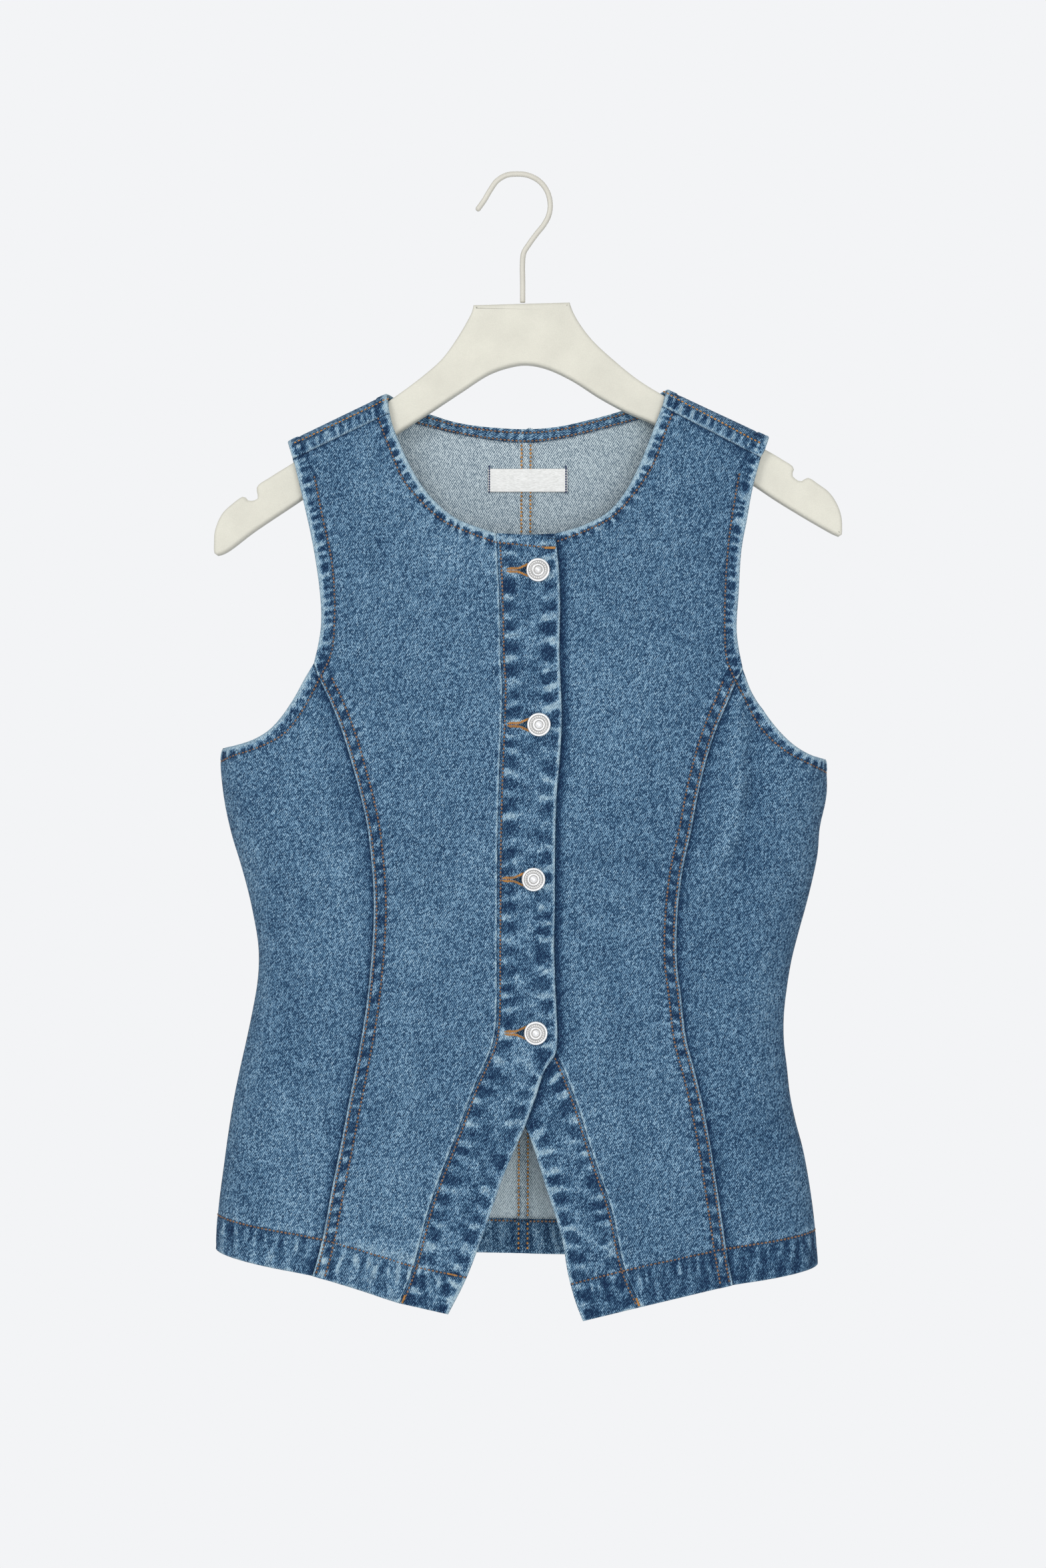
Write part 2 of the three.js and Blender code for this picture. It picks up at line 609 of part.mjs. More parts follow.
function neckStrip() {
  const { right, left } = HALVES;
  const inFront = (half, points, count) =>
    stations(flat(points, -1, half === right), count).slice(0, -1);
  const over = (points, count) => stations(draped(points), count).slice(0, -1);
  const edge = [
    ...inFront(right, [[-15.2, -240.4], ...[...right.neck].reverse().slice(1)], 12),
    ...over([...frontT([right.neck[0]]), [-87.3, 0], ...backT([BACK_NECK[0]])], 10),
    ...over(backT(BACK_NECK), 14),
    ...over([...backT([BACK_NECK[8]]), [98.9, 0], ...frontT([left.neck[0]])], 10),
    ...stations(flat([...left.neck.slice(0, -1), [24.7, -240.4]], -1), 12),
  ];
  const { neckStitch: a } = right;
  const { neckStitch: b } = left;
  const line = [
    ...inFront(right, [...a].reverse(), 12),
    ...over([...frontT([a[0]]), [-95, 0], ...backT([BACK_NECK_STITCH[0]])], 10),
    ...over(backT(BACK_NECK_STITCH), 14),
    ...over([...backT([BACK_NECK_STITCH[7]]), [106.5, 0], ...frontT([b[0]])], 10),
    ...stations(flat(b, -1), 12),
  ];
  add("neck_facing", wall(strip(edge, line), stripWall), PAINT.denim);
}

function armholeStrip(name) {
  const half = HALVES[name];
  const toward = name === "right" ? 1 : -1;
  const pit = half.underarm[half.underarm.length - 1];
  const front = [...half.armhole, ...half.underarm.slice(1)].reverse();
  const back = half.armholeBack;
  const stitch = half.armholeStitch;
  const stitchBack = back
    .slice(1, -5)
    .map(([x, z]) => [x + 8 * toward, z - 1])
    .concat(stitch.slice(-4));
  const whole = (points, fold, behind, count) => [
    ...stations(draped(frontT(points)), count).slice(0, -1),
    ...stations(
      draped([frontT([points[points.length - 1]])[0], [fold, 0], ...backT([behind[0]])]),
      10,
    ).slice(0, -1),
    ...stations(draped(backT(behind)), count).slice(0, -1),
  ];
  const edge = whole(front, back[0][0], back.slice(1), 22);
  const line = whole([...stitch].reverse(), back[0][0] + 8 * toward, stitchBack, 22);
  edge[0] = { ...edge[0], x: pit[0], z: pit[1] };
  add(
    `armhole_facing_${name}`,
    wall(strip(edge, line), { ...stripWall, inset: WALL + STRIP_GAP + 0.25, ring: true }),
    PAINT.denim,
  );
}

function hemStrip() {
  const { right, left } = HALVES;
  const last = (list) => list[list.length - 1];
  const edgeAt = (up) => {
    const raise = (points) => points.map(([x, z]) => [x, z + up]);
    const atSide = (half, name) => {
      const z = last(half.side)[1] + up;
      return [read(SIDE_LINE[name], 1, z), z];
    };
    const [cornerR, cornerL] = [atSide(right, "right"), atSide(left, "left")];
    const seamX = (half, z) => read(turned(half.bandSeam), 1, z);
    const bandR = [seamX(right, last(right.bandSeam)[1] + up) - 2, last(right.bandSeam)[1] + up];
    const bandL = [seamX(left, last(left.bandSeam)[1] + up) + 2, last(left.bandSeam)[1] + up];
    return [
      ...stations(flat([bandR, ...raise([right.hem[0]]), cornerR], -1, true), 16).slice(0, -1),
      ...stations(flat([cornerR, ...raise([CENTRE_BACK[1]]), cornerL], 1), 40).slice(0, -1),
      ...stations(flat([cornerL, ...raise([left.hem[0]]), bandL], -1), 16),
    ];
  };
  const grid = strip(edgeAt(0.6), edgeAt(HEM_DEPTH));
  add("hem_facing", wall(grid, stripWall), PAINT.denim);
}

// Buttons: a cap with a raised rim, a shank through both bands and a tack behind them.
function button(number, [x, z]) {
  const front = depth(x, z, -1, true);
  const capBack = front + BUTTON_LIFT;
  const back = depth(x, z, -1, false) - BAND_WALL - 0.35;
  const [r, s, t] = [BUTTON_RADIUS, SHANK_RADIUS, TACK_RADIUS];
  const profile = [
    // radius, distance in front of the hanger's plane
    [0, back - 1],
    [t, back - 0.8],
    [t, back],
    [s, back],
    [s, capBack],
    [r - 0.9, capBack],
    [r, capBack + 0.8],
    [r - 0.5, capBack + 2.1],
    [r - 1.6, capBack + 1.9],
    [2.8, capBack + 1.7],
    [0, capBack + 2.9],
  ].map(([radius, along]) => new THREE.Vector2(radius, along));
  const lathe = new THREE.LatheGeometry(profile, 14);
  lathe.rotateX(Math.PI);
  lathe.translate(x, 0, z);
  lathe.deleteAttribute("uv");
  lathe.deleteAttribute("normal");
  const merged = mergeVertices(lathe, 1e-4);
  const kept = [];
  const index = merged.index.array;
  for (let i = 0; i < index.length; i += 3) {
    const [a, b, c] = [index[i], index[i + 1], index[i + 2]];
    if (a !== b && b !== c && c !== a) kept.push(a, b, c);
  }
  const mesh = closed([...merged.attributes.position.array], kept);
  add(`button_${number}`, mesh, PAINT.nickel);
}

// The label lies inside the back, clear of its wall.
function label() {
  const grid = [];
  for (let j = 0; j <= 2; j++) {
    const row = [];
    for (let i = 0; i <= 4; i++) {
      row.push({
        x: lerp(LABEL.x[0], LABEL.x[1], i / 4),
        z: lerp(LABEL.z[0], LABEL.z[1], j / 2),
        sign: 1,
      });
    }
    grid.push(row);
  }
  add("label", wall(grid, { thickness: LABEL.wall, inset: WALL + STRIP_GAP }), PAINT.label);
}

// Hanger: the moulded outline with softened edges, bored for the wire.
function solid(geometry) {
  const bare = geometry.clone();
  bare.deleteAttribute("normal");
  bare.deleteAttribute("uv");
  const merged = mergeVertices(bare, 1e-4);
  return new wasm.Manifold(
    new wasm.Mesh({
      numProp: 3,
      vertProperties: new Float32Array(merged.attributes.position.array),
      triVerts: new Uint32Array(merged.index.array),
    }),
  );
}
function hanger() {
  const outline = [...HANGER_TOP, ...HANGER_LEFT];
  const shape = new THREE.Shape(outline.map(([x, z]) => new THREE.Vector2(x, z)));
  const body = new THREE.ExtrudeGeometry(shape, {
    depth: HANGER_THICKNESS - 2 * HANGER_BEVEL,
    bevelEnabled: true,
    bevelThickness: HANGER_BEVEL,
    bevelSize: HANGER_BEVEL,
    bevelOffset: -HANGER_BEVEL,
    bevelSegments: 2,
  });
  body.translate(0, 0, -HANGER_THICKNESS / 2 + HANGER_BEVEL);
  body.rotateX(Math.PI / 2);
  const bore = new THREE.CylinderGeometry(WIRE_RADIUS + 0.15, WIRE_RADIUS + 0.15, 60, 12);
  bore.rotateX(Math.PI / 2);
  bore.translate(WIRE[0][0], 0, HANGER_TOP[0][1] - WIRE_SOCKET + 30);
  const cut = solid(body).subtract(solid(bore)).getMesh();
  const count = cut.vertProperties.length / cut.numProp;
  const position = [];
  for (let i = 0; i < count; i++) {
    position.push(...cut.vertProperties.slice(i * cut.numProp, i * cut.numProp + 3));
  }
  add("hanger_body", closed(position, [...cut.triVerts]), PAINT.hanger);

  const start = [WIRE[0][0], HANGER_TOP[0][1] - WIRE_SOCKET + 0.3];
  const line = new THREE.CatmullRomCurve3(
    [start, [WIRE[0][0], -84], ...WIRE].map(([x, z]) => new THREE.Vector3(x, 0, z)),
    false,
    "centripetal",
  );
  const steps = 44;
  const around = 8;
  const points = [];
  const faces = [];
  for (let j = 0; j <= steps; j++) {
    const centre = line.getPointAt(j / steps);
    const along = line.getTangentAt(j / steps);
    const across = new THREE.Vector3(along.z, 0, -along.x).normalize();
    for (let i = 0; i < around; i++) {
      const angle = (2 * Math.PI * i) / around;
      const p = centre.clone().addScaledVector(across, WIRE_RADIUS * Math.cos(angle));
      points.push(p.x, p.y + WIRE_RADIUS * Math.sin(angle), p.z);
    }
  }
  for (let j = 0; j < steps; j++) {
    for (let i = 0; i < around; i++) {
      const [a, b] = [j * around + i, j * around + ((i + 1) % around)];
      faces.push(a, b, b + around, a, b + around, a + around);
    }
  }
  for (let i = 1; i < around - 1; i++) {
    const end = steps * around;
    faces.push(0, i + 1, i, end, end + i, end + i + 1);
  }
  add("hanger_hook", closed(points, faces), PAINT.wire);
}

frontPanels("right");
frontPanels("left");
backPanel("right");
backPanel("left");
overlapBand();
underlapBand();
neckStrip();
armholeStrip("right");
armholeStrip("left");
hemStrip();
BUTTONS.forEach((spot, i) => button(i + 1, spot));
label();
hanger();

export default group;
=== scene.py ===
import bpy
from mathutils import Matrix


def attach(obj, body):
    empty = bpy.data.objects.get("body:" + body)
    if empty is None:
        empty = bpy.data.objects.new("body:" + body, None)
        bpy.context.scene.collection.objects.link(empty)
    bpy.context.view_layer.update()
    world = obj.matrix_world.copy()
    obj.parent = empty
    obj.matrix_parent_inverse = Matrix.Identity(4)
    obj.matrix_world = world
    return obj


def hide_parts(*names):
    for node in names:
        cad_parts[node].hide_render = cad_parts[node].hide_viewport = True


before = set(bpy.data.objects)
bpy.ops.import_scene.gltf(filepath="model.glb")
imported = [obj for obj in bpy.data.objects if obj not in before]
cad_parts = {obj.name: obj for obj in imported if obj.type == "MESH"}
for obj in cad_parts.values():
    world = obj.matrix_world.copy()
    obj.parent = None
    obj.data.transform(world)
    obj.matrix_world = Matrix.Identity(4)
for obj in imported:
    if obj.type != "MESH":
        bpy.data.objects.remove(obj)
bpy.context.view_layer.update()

import math

import bmesh
import bpy
import numpy as np
from mathutils import Vector
from mathutils.geometry import tessellate_polygon

bl_info = {
    "name": "Denim vest on a hanger",
    "version": (1, 0, 0),
    "blender": (4, 5, 0),
    "location": "View3D > Sidebar > Vest",
    "description": "Dresses the packed vest with denim, seams, real stitches, buttons and its hanger",
    "category": "Object",
}

# All tables and sizes are in millimetres in the frame of the part: the front faces -Y, and "right"
# means the wearer's right, at negative X. Meshes are scaled to metres when they are made.
WALL = 1.2  # one layer of denim
BAND_WALL = 1.9  # a button band, two layers sewn together
STRIP_WALL = 0.9  # inner strips and the turned hem
STRIP_GAP = 0.75  # between a panel and a strip inside it
FELL_WALL = 0.6  # the felled strip inside the centre back
SEAM_GAP = 0.3  # between sewn pieces
ON_STRIP = WALL + STRIP_GAP + STRIP_WALL  # depth of an inner strip's inside below the face
DOUBLE_ROW = (1.9, 8.0)  # rows of a felled seam, from its edge
LAP = 2.6  # how far the right front rises over the left one
LAP_RUN = 32  # the width over which it rises
SIDE_FOLD = {-1: 45, 1: 40}  # width of the rounding at the sides, front and back
TOP_FOLD = 12  # depth of the rounding over the shoulders
BUTTON_RADIUS = 7.8
SHANK_RADIUS = 2.2
TACK_RADIUS = 4.2
HOLE_LENGTH = 20.5  # from the button's middle to the end of the buttonhole's thread
HOLE_BAR = 14.3  # from the button's middle to the closed end of the slit
HOLE_END = 3.4  # from the button's middle to the open end of the slit
HOLE_OPEN = 2.9  # half the slit's opening at its widest
HEM_DEPTH = 24  # from the hem's edge to its stitched row
ARMHOLE_ROW = 8  # from the back's armhole to its stitched row
RIB_PITCH = 1.07
BUTTONS = [(13, -265), (13.5, -367), (10, -468.5), (11.5, -569.5)]
BEND = -575  # height at which the bands turn outward

DEPTHS = [
    # z, front at the middle, front towards the edge, back
    (-140, 10.5, 10.5, 10.5), (-190, 13, 11.5, 11), (-240, 19, 13.5, 13), (-300, 23, 17, 15.5),
    (-360, 27, 21, 17), (-430, 29, 29, 18), (-500, 26, 25, 15), (-570, 25, 23, 15.5),
    (-640, 26, 24, 17), (-700, 28, 25, 19), (-770, 31, 27, 20),
]
BUST = {"x": 80, "z": -415, "height": 5, "across": 42, "down": 62}

# Outline and seams of the two halves, each point as x, z
RIGHT = {
    "name": "right",
    "side": [
        (-197.5, -382), (-199, -391), (-198.5, -401), (-196, -420), (-191.5, -440), (-186, -458),
        (-181, -476), (-177, -494), (-174, -512), (-173.5, -525), (-174.5, -539), (-178, -559),
        (-182, -578), (-186.5, -598), (-190.5, -618), (-194, -640), (-197, -662), (-200, -685),
        (-201.5, -702), (-201.8, -717),
    ],
    "shoulder_neck": (-85.5, -159.5),
    "shoulder_arm": (-149.5, -190),
    "fold": (-87, -145, 0.484),
    "armhole": [
        (-149.5, -190), (-142, -221), (-135.5, -251), (-131, -283), (-130.5, -301),
        (-132.5, -315), (-135, -326),
    ],
    "underarm": [
        (-135, -326), (-141, -336), (-147.5, -348), (-156, -361), (-165, -370.5),
        (-175.5, -376.5), (-187, -380), (-197.5, -382),
    ],
    "armhole_back": [
        (-154.3, -177.5), (-151, -190), (-140, -222), (-132.5, -252), (-128, -284),
        (-127.5, -302), (-129, -317), (-133, -334), (-141, -351), (-152, -365.5),
        (-165, -374.5), (-180, -380), (-197.5, -382),
    ],
    "armhole_stitch": [
        (-143.5, -182.5), (-135.5, -201), (-130, -228), (-123, -262), (-121.5, -300),
        (-124, -321), (-132, -338), (-143.5, -359), (-155, -373), (-172, -382), (-188, -387),
        (-198.8, -391),
    ],
    "princess": [
        (-135, -326), (-131.5, -336), (-123.5, -353), (-116.5, -370), (-108, -397),
        (-99.5, -431), (-96.5, -455), (-95, -483), (-96, -511), (-100, -551), (-105.5, -584),
        (-112.5, -620), (-118, -649), (-122.5, -671), (-128, -701), (-132, -718),
        (-135.5, -729.5),
    ],
    "neck": [
        (-85.5, -159.5), (-83.5, -167.5), (-79, -179), (-70, -198), (-58.5, -215),
        (-42, -229.5), (-26, -236.5), (-14.5, -240.5),
    ],
    "neck_stitch": [
        (-93.5, -162), (-86, -181.5), (-76, -204.5), (-64, -219), (-49.5, -232),
        (-33.5, -239.5), (-15.5, -246.5),
    ],
    "band_seam": [
        (-14.5, -240.5), (-12.5, -281), (-11.5, -324), (-10.5, -341), (-12.5, -403),
        (-13.5, -441), (-14, -511), (-14.8, -565), (-17.5, -579), (-22.5, -591),
        (-28.5, -604), (-38.5, -631), (-57.5, -681), (-69, -723), (-78, -746.5),
    ],
    "band_edge": [
        (24.5, -242.5), (26.5, -262), (27.5, -287), (27, -318), (28.5, -363), (27, -391),
        (25, -414), (24, -455), (24, -487), (23.5, -510), (24.2, -534), (25.5, -578),
        (24, -584), (17, -595), (11, -613), (3, -634), (-8.5, -660), (-23, -701),
        (-34.5, -731), (-46, -753.5),
    ],
    "hem": [(-135.5, -729.5), (-201.8, -717)],
}
LEFT = {
    "name": "left",
    "side": [
        (205.5, -389.5), (206.3, -408), (205.2, -418), (201.5, -435), (200, -452.5),
        (196.5, -470), (192, -488), (187, -506), (182.5, -524), (179.5, -542), (177.5, -560),
        (177.5, -577.5), (179.5, -595), (181.5, -613), (185.2, -631), (190, -649),
        (193.5, -667), (196.2, -684.5), (198.5, -705), (199.8, -727),
    ],
    "shoulder_neck": (95.5, -155),
    "shoulder_arm": (161, -189),
    "fold": (99, -142.3, -0.467),
    "armhole": [
        (161, -189), (155.5, -210), (152, -229), (148, -251), (146, -280), (144.5, -302),
        (145.5, -314), (148.5, -330),
    ],
    "underarm": [
        (148.5, -330), (154, -344.5), (163, -359), (173, -371.5), (183, -380.5),
        (194, -386.5), (205.5, -389.5),
    ],
    "armhole_back": [
        (167.7, -174.4), (162.5, -189), (155.5, -210), (150, -229), (145.5, -251),
        (142.5, -280), (141.5, -302), (142.5, -317), (145.5, -335), (151, -350),
        (160, -365), (170, -377), (182, -384.5), (193, -388.3), (205.5, -389.5),
    ],
    "armhole_stitch": [
        (154.5, -179.5), (147, -199), (143.5, -218), (139, -250), (136.5, -300),
        (138, -324), (142.5, -336), (151, -353), (161, -370), (174.5, -383), (190, -391.5),
        (206, -398.5),
    ],
    "princess": [
        (148.5, -330), (143, -340), (138, -352), (128.5, -375), (119, -408), (113.5, -436),
        (107.5, -465), (104.5, -495), (104.5, -524), (107, -544), (110.5, -573), (117, -598),
        (122.5, -622), (127, -646), (130.5, -669), (134, -692), (137, -713), (141, -735.5),
    ],
    "neck": [
        (95.5, -155), (92.5, -163), (86.5, -179), (79, -197), (71, -212), (59, -226),
        (42, -235), (24, -240.5),
    ],
    "neck_stitch": [
        (102.5, -159.5), (98, -171), (89, -194.5), (77, -213), (62.5, -229), (46, -238),
        (25, -246),
    ],
    "band_seam": [
        (24, -240.5), (22.5, -262), (22.2, -310), (22, -363), (20.5, -414), (20, -460),
        (20, -500), (21, -560), (24.5, -581), (30, -594), (39, -618), (49, -650), (61, -685),
        (70, -725), (80.5, -749.5),
    ],
    "band_edge": [
        (-12.5, -242), (-11, -283), (-9, -341), (-11, -403), (-12.5, -511), (-13.2, -562),
        (-11.5, -585), (-3, -612), (5, -632), (9.5, -643.5), (18.5, -672), (24.5, -690),
        (29, -706), (33, -729), (38, -747), (42.5, -758.5),
    ],
    "hem": [(141, -735.5), (199.8, -727)],
}
BACK_NECK = [
    (-76, -152.5), (-59.5, -157.5), (-43.5, -162.5), (-25.5, -165.5), (4.5, -167.3),
    (25, -166), (47, -161.5), (73, -154), (86.5, -149),
]
BACK_NECK_STITCH = [
    (-88, -159.5), (-66.5, -164.5), (-31.5, -172.5), (4, -176.5), (28.5, -174),
    (64.5, -165.5), (84, -160), (98, -155.5),
]
NECK_FOLD = (-87.3, 98.9)  # x of the neck's edge on the fold of each shoulder
NECK_ROW_FOLD = (-95, 106.5)  # and of its stitched row
CENTRE_BACK = [(4.5, -167.3), (2.5, -723.5)]
CENTRE_SEAM = [(10.2, -167.1), (8, -723.5)]  # the felled seam's edge, beside the middle of its rows
UNDERARM_LEVEL = -376  # height at the centre back of the row that ends at the underarm
LABEL = {"x": (-20.5, 33), "z": (-194, -209.5), "wall": 0.7}

HANGER_THICKNESS = 11
HANGER_BEVEL = 2.4
HANGER_TOP = [
    (34.2, -84.7), (36.5, -91), (41, -99), (49.5, -110), (61.5, -121.3), (79, -135.6),
    (97.2, -147), (131, -165.5), (165, -183), (175.3, -189), (183.8, -195.2), (182.8, -200),
    (188.2, -204), (193.1, -201.6), (199.8, -205.6), (207.4, -211.4), (212.3, -218.5),
    (215.3, -226.5), (216, -233.5), (215.3, -240.4), (212, -239.6), (200.7, -233.5),
    (173.5, -217.2), (157, -206.2), (124, -185.5), (92.3, -166.4), (71.4, -157.2),
    (54.4, -148), (34.8, -135.6), (17.8, -128), (5.4, -125.8),
]
HANGER_LEFT = [
    (-4.5, -127), (-19.2, -132), (-38.8, -144.5), (-60.7, -159), (-81.6, -172.4),
    (-113, -194), (-144.5, -215.9), (-175.7, -236.8), (-196.7, -252), (-202.2, -252.9),
    (-203, -244), (-202.4, -236.8), (-198, -226.2), (-191.3, -219.4), (-182.9, -214.1),
    (-180.2, -216.8), (-174, -215.6), (-174.4, -207.8), (-165.5, -201.2), (-151.2, -192.3),
    (-118, -171), (-85.2, -149.6), (-63.3, -133.4), (-50.8, -122.2), (-41, -108.8),
    (-33.9, -96.8), (-31, -91), (-29.9, -86.5),
]
WIRE_RADIUS = 1.8
WIRE = [
    (2.9, -84), (2.9, -70), (2.8, -58), (3.6, -51), (7.2, -45), (12, -38.4), (17.3, -31.7),
    (20.4, -25.5), (21.3, -18), (19.2, -9.6), (13.8, -2.8), (6.4, 1), (0, 1.8), (-8, 1),
    (-14.3, -2.8), (-18.8, -9), (-22.7, -15.6), (-26.8, -21.4),
]

# Soft creases of the front: from x, z to x, z, height and half width
CREASES = [
    (-130, -346, -117, -417, -1.875, 5), (-112, -406, -103, -470, -1.875, 5),
    (145, -348, 143.6, -408, 2.75, 7), (143.6, -408, 136.5, -445, 2.75, 7),
    (136.5, -445, 123, -474, 2.5, 7), (157, -352, 154, -420, -2, 6),
    (127, -253, 139, -269, -1.25, 3.5), (124, -312, 134, -325, -1.25, 3.5),
    (-124, -244, -116, -253, 1.25, 3), (-122, -275, -110, -287, -1.25, 3.2),
    (-124, -317, -119, -324, -1.125, 3), (44, -456, 104, -460, -1.625, 6),
    (131.6, -631, 135, -667, -1.625, 6), (157, -632, 168, -649, -1.5, 5),
    (-103, -172, -101, -283, 1.125, 4.5), (-93, -180, -92, -262, -1, 4.5),
    (104, -180, 98, -270, 1, 5), (-70, -520, -82, -690, 1.375, 9),
    (60, -520, 84, -700, -1.375, 9), (-160, -470, -150, -600, -1.625, 8),
    (160, -470, 158, -620, 1.375, 8), (-52, -250, -66, -340, 1.125, 8),
    (-64, -232, -60, -262, 0.75, 3), (-27, -243, -19, -265, 0.625, 3),
]


def smooth(t):
    """Zero below 0, one above 1, and 3t^2 - 2t^3 between."""
    t = np.clip(t, 0, 1)
    return t * t * (3 - 2 * t)


def mix(a, b, t):
    """a where t is 0, b where t is 1, and in proportion between."""
    return a + (b - a) * t


def read(rows, column, at):
    """A smooth value from a table whose first column rises or falls steadily: a cubic between
    rows, with each row's slope taken from its neighbours."""
    rows = np.asarray(rows, float)
    if rows[0, 0] > rows[-1, 0]:
        rows = rows[::-1]
    x, y = rows[:, 0], rows[:, column]
    i = np.clip(np.searchsorted(x, at) - 1, 0, len(x) - 2)
    before, after = np.maximum(i - 1, 0), np.minimum(i + 2, len(x) - 1)
    span = x[i + 1] - x[i]
    t = np.clip((at - x[i]) / span, 0, 1)
    slope_a = (y[i + 1] - y[before]) / (x[i + 1] - x[before]) * span
    slope_b = (y[after] - y[i]) / (x[after] - x[i]) * span
    return (
        (2 * t**3 - 3 * t**2 + 1) * y[i]
        + (t**3 - 2 * t**2 + t) * slope_a
        + (3 * t**2 - 2 * t**3) * y[i + 1]
        + (t**3 - t**2) * slope_b
    )


def turned(points):
    """Points x, z as rows of z, x, for reading x at a height."""
    return [(z, x) for x, z in points]


LATTICES = {}


def noise(a, b, seed):
    """Smooth value noise from -1 to 1 on a lattice of whole numbers."""
    if seed not in LATTICES:
        LATTICES[seed] = np.random.default_rng(seed).uniform(-1, 1, (61, 61))
    table = LATTICES[seed]
    i, j = np.floor(a).astype(int), np.floor(b).astype(int)
    s, t = smooth(a - i), smooth(b - j)
    at = lambda p, q: table[p % 61, q % 61]
    low = mix(at(i, j), at(i + 1, j), s)
    high = mix(at(i, j + 1), at(i + 1, j + 1), s)
    return mix(low, high, t)


def smooth_line(points, count):
    """count + 1 evenly spaced points on a centripetal Catmull-Rom curve through the points."""
    p = np.array(points, float)
    p = np.vstack([2 * p[:1] - p[1:2], p, 2 * p[-1:] - p[-2:-1]])
    step = np.maximum(np.linalg.norm(np.diff(p, axis=0), axis=1), 1e-6)[:, None] ** 0.5
    a, b, c, d = p[:-3], p[1:-2], p[2:-1], p[3:]
    ab, bc, cd = step[:-2], step[1:-1], step[2:]
    slope_b = ((b - a) / ab - (c - a) / (ab + bc) + (c - b) / bc) * bc
    slope_c = ((c - b) / bc - (d - b) / (bc + cd) + (d - c) / cd) * bc
    t = np.linspace(0, 1, 40, endpoint=False)[None, :, None]
    curve = (
        (2 * t**3 - 3 * t**2 + 1) * b[:, None]
        + (t**3 - 2 * t**2 + t) * slope_b[:, None]
        + (3 * t**2 - 2 * t**3) * c[:, None]
        + (t**3 - t**2) * slope_c[:, None]
    ).reshape(-1, p.shape[1])
    curve = np.vstack([curve, c[-1]])
    return even(curve, count)


def even(points, count):
    """count + 1 evenly spaced points on a polyline."""
    points = np.asarray(points, float)
    run = arc(points)
    at = np.linspace(0, run[-1], count + 1)
    return np.stack([np.interp(at, run, column) for column in points.T], 1)


def arc(points):
    """Length along a polyline at each of its points."""
    step = np.linalg.norm(np.diff(points, axis=0), axis=1)
    return np.concatenate([[0], np.cumsum(step)])


def offset(points, distance):
    """A plane line moved sideways, to its left where distance is positive."""
    along = np.gradient(points, axis=0)
    along /= np.linalg.norm(along, axis=1)[:, None]
    return points + distance * np.stack([-along[:, 1], along[:, 0]], 1)


def to_side(x, z):
    """Distance from the folded side of the vest, level with each place."""
    right = np.abs(read(turned(RIGHT["side"]), 1, z))
    left = np.abs(read(turned(LEFT["side"]), 1, z))
    return np.where(x < 0, right, left) - np.abs(x)


def shoulder_line(x):
    """Height of the fold over the shoulders at x: two slopes that fall from the neck."""
    lines = [half["fold"][1] + half["fold"][2] * (x - half["fold"][0]) for half in (RIGHT, LEFT)]
    return np.minimum(*lines)


def front_folds(x, z):
    """Height of the creases of the front: each falls off beside its line as e to the minus square
    of the distance in half widths."""
    front = np.zeros(np.shape(x))
    for x0, z0, x1, z1, rise, width in CREASES:
        ahead = (x - x0) * (x1 - x0) + (z - z0) * (z1 - z0)
        run = np.clip(ahead / ((x1 - x0) ** 2 + (z1 - z0) ** 2), 0, 1)
        gap = np.hypot(x - mix(x0, x1, run), z - mix(z0, z1, run)) / width
        front += rise * np.exp(-gap * gap)
    return front


def creases(x, z, sign):
    """Soft waves of the hanging cloth, in millimetres away from the hanger's plane."""
    height = 0.75 * noise(x / 62, z / 95 + 3 * sign, 5) + 0.32 * noise(x / 23, z / 34 + 5 * sign, 6)
    front = front_folds(x, z)
    back = 1.1 * noise(x / 45, z / 140, 9)
    calm = smooth((np.abs(x - 7) - 14) / 26)
    below_fold = smooth((shoulder_line(x) - z - 6) / 40)
    return np.where(sign < 0, (height + front) * mix(0.35, 1, calm), height + back) * below_fold


def depth(x, z, sign, lap):
    """How far the cloth stands from the hanger's plane, away from its folds. The right front
    also rises to its band."""
    towards = np.minimum(1, (x / 150) ** 2)
    across = (np.abs(x) - BUST["x"]) / BUST["across"]
    down = (z - BUST["z"]) / BUST["down"]
    bust = BUST["height"] * np.exp(-across * across - down * down)
    seam = read(turned(RIGHT["band_seam"]), 1, z)
    rise = lap * LAP * smooth((x - seam + LAP_RUN) / LAP_RUN)
    front = mix(read(DEPTHS, 1, z), read(DEPTHS, 2, z), towards) + bust + rise
    return np.where(sign > 0, read(DEPTHS, 3, z), front) + creases(x, z, sign)


def fullness(x, z, sign):
    """One at full depth, falling to zero on a fold as the square of an ellipse's height does."""
    reach = np.where(sign > 0, SIDE_FOLD[1], SIDE_FOLD[-1])
    fold = lambda distance, width: 1 - (1 - np.minimum(distance, width) / width) ** 2
    return fold(to_side(x, z), reach) * fold(shoulder_line(x) - z, TOP_FOLD)


def lay(x, z, sign, lap):
    """Points of the cloth's outer face, and the outward directions there from the slope of
    (y / depth)^2 - fullness."""
    x, z = np.asarray(x, float), np.asarray(z, float)
    sign, lap = np.broadcast_to(sign, x.shape), np.broadcast_to(lap, x.shape)
    y = sign * depth(x, z, sign, lap) * np.sqrt(np.maximum(0, fullness(x, z, sign)))
    h = 0.05
    level = lambda a, b, c: (b / depth(a, c, sign, lap)) ** 2 - fullness(a, c, sign)
    normal = np.stack([
        level(x + h, y, z) - level(x - h, y, z),
        level(x, y + h, z) - level(x, y - h, z),
        level(x, y, z + h) - level(x, y, z - h),
    ], -1)
    normal /= np.linalg.norm(normal, axis=-1, keepdims=True)
    return np.stack([x, y, z], -1), normal


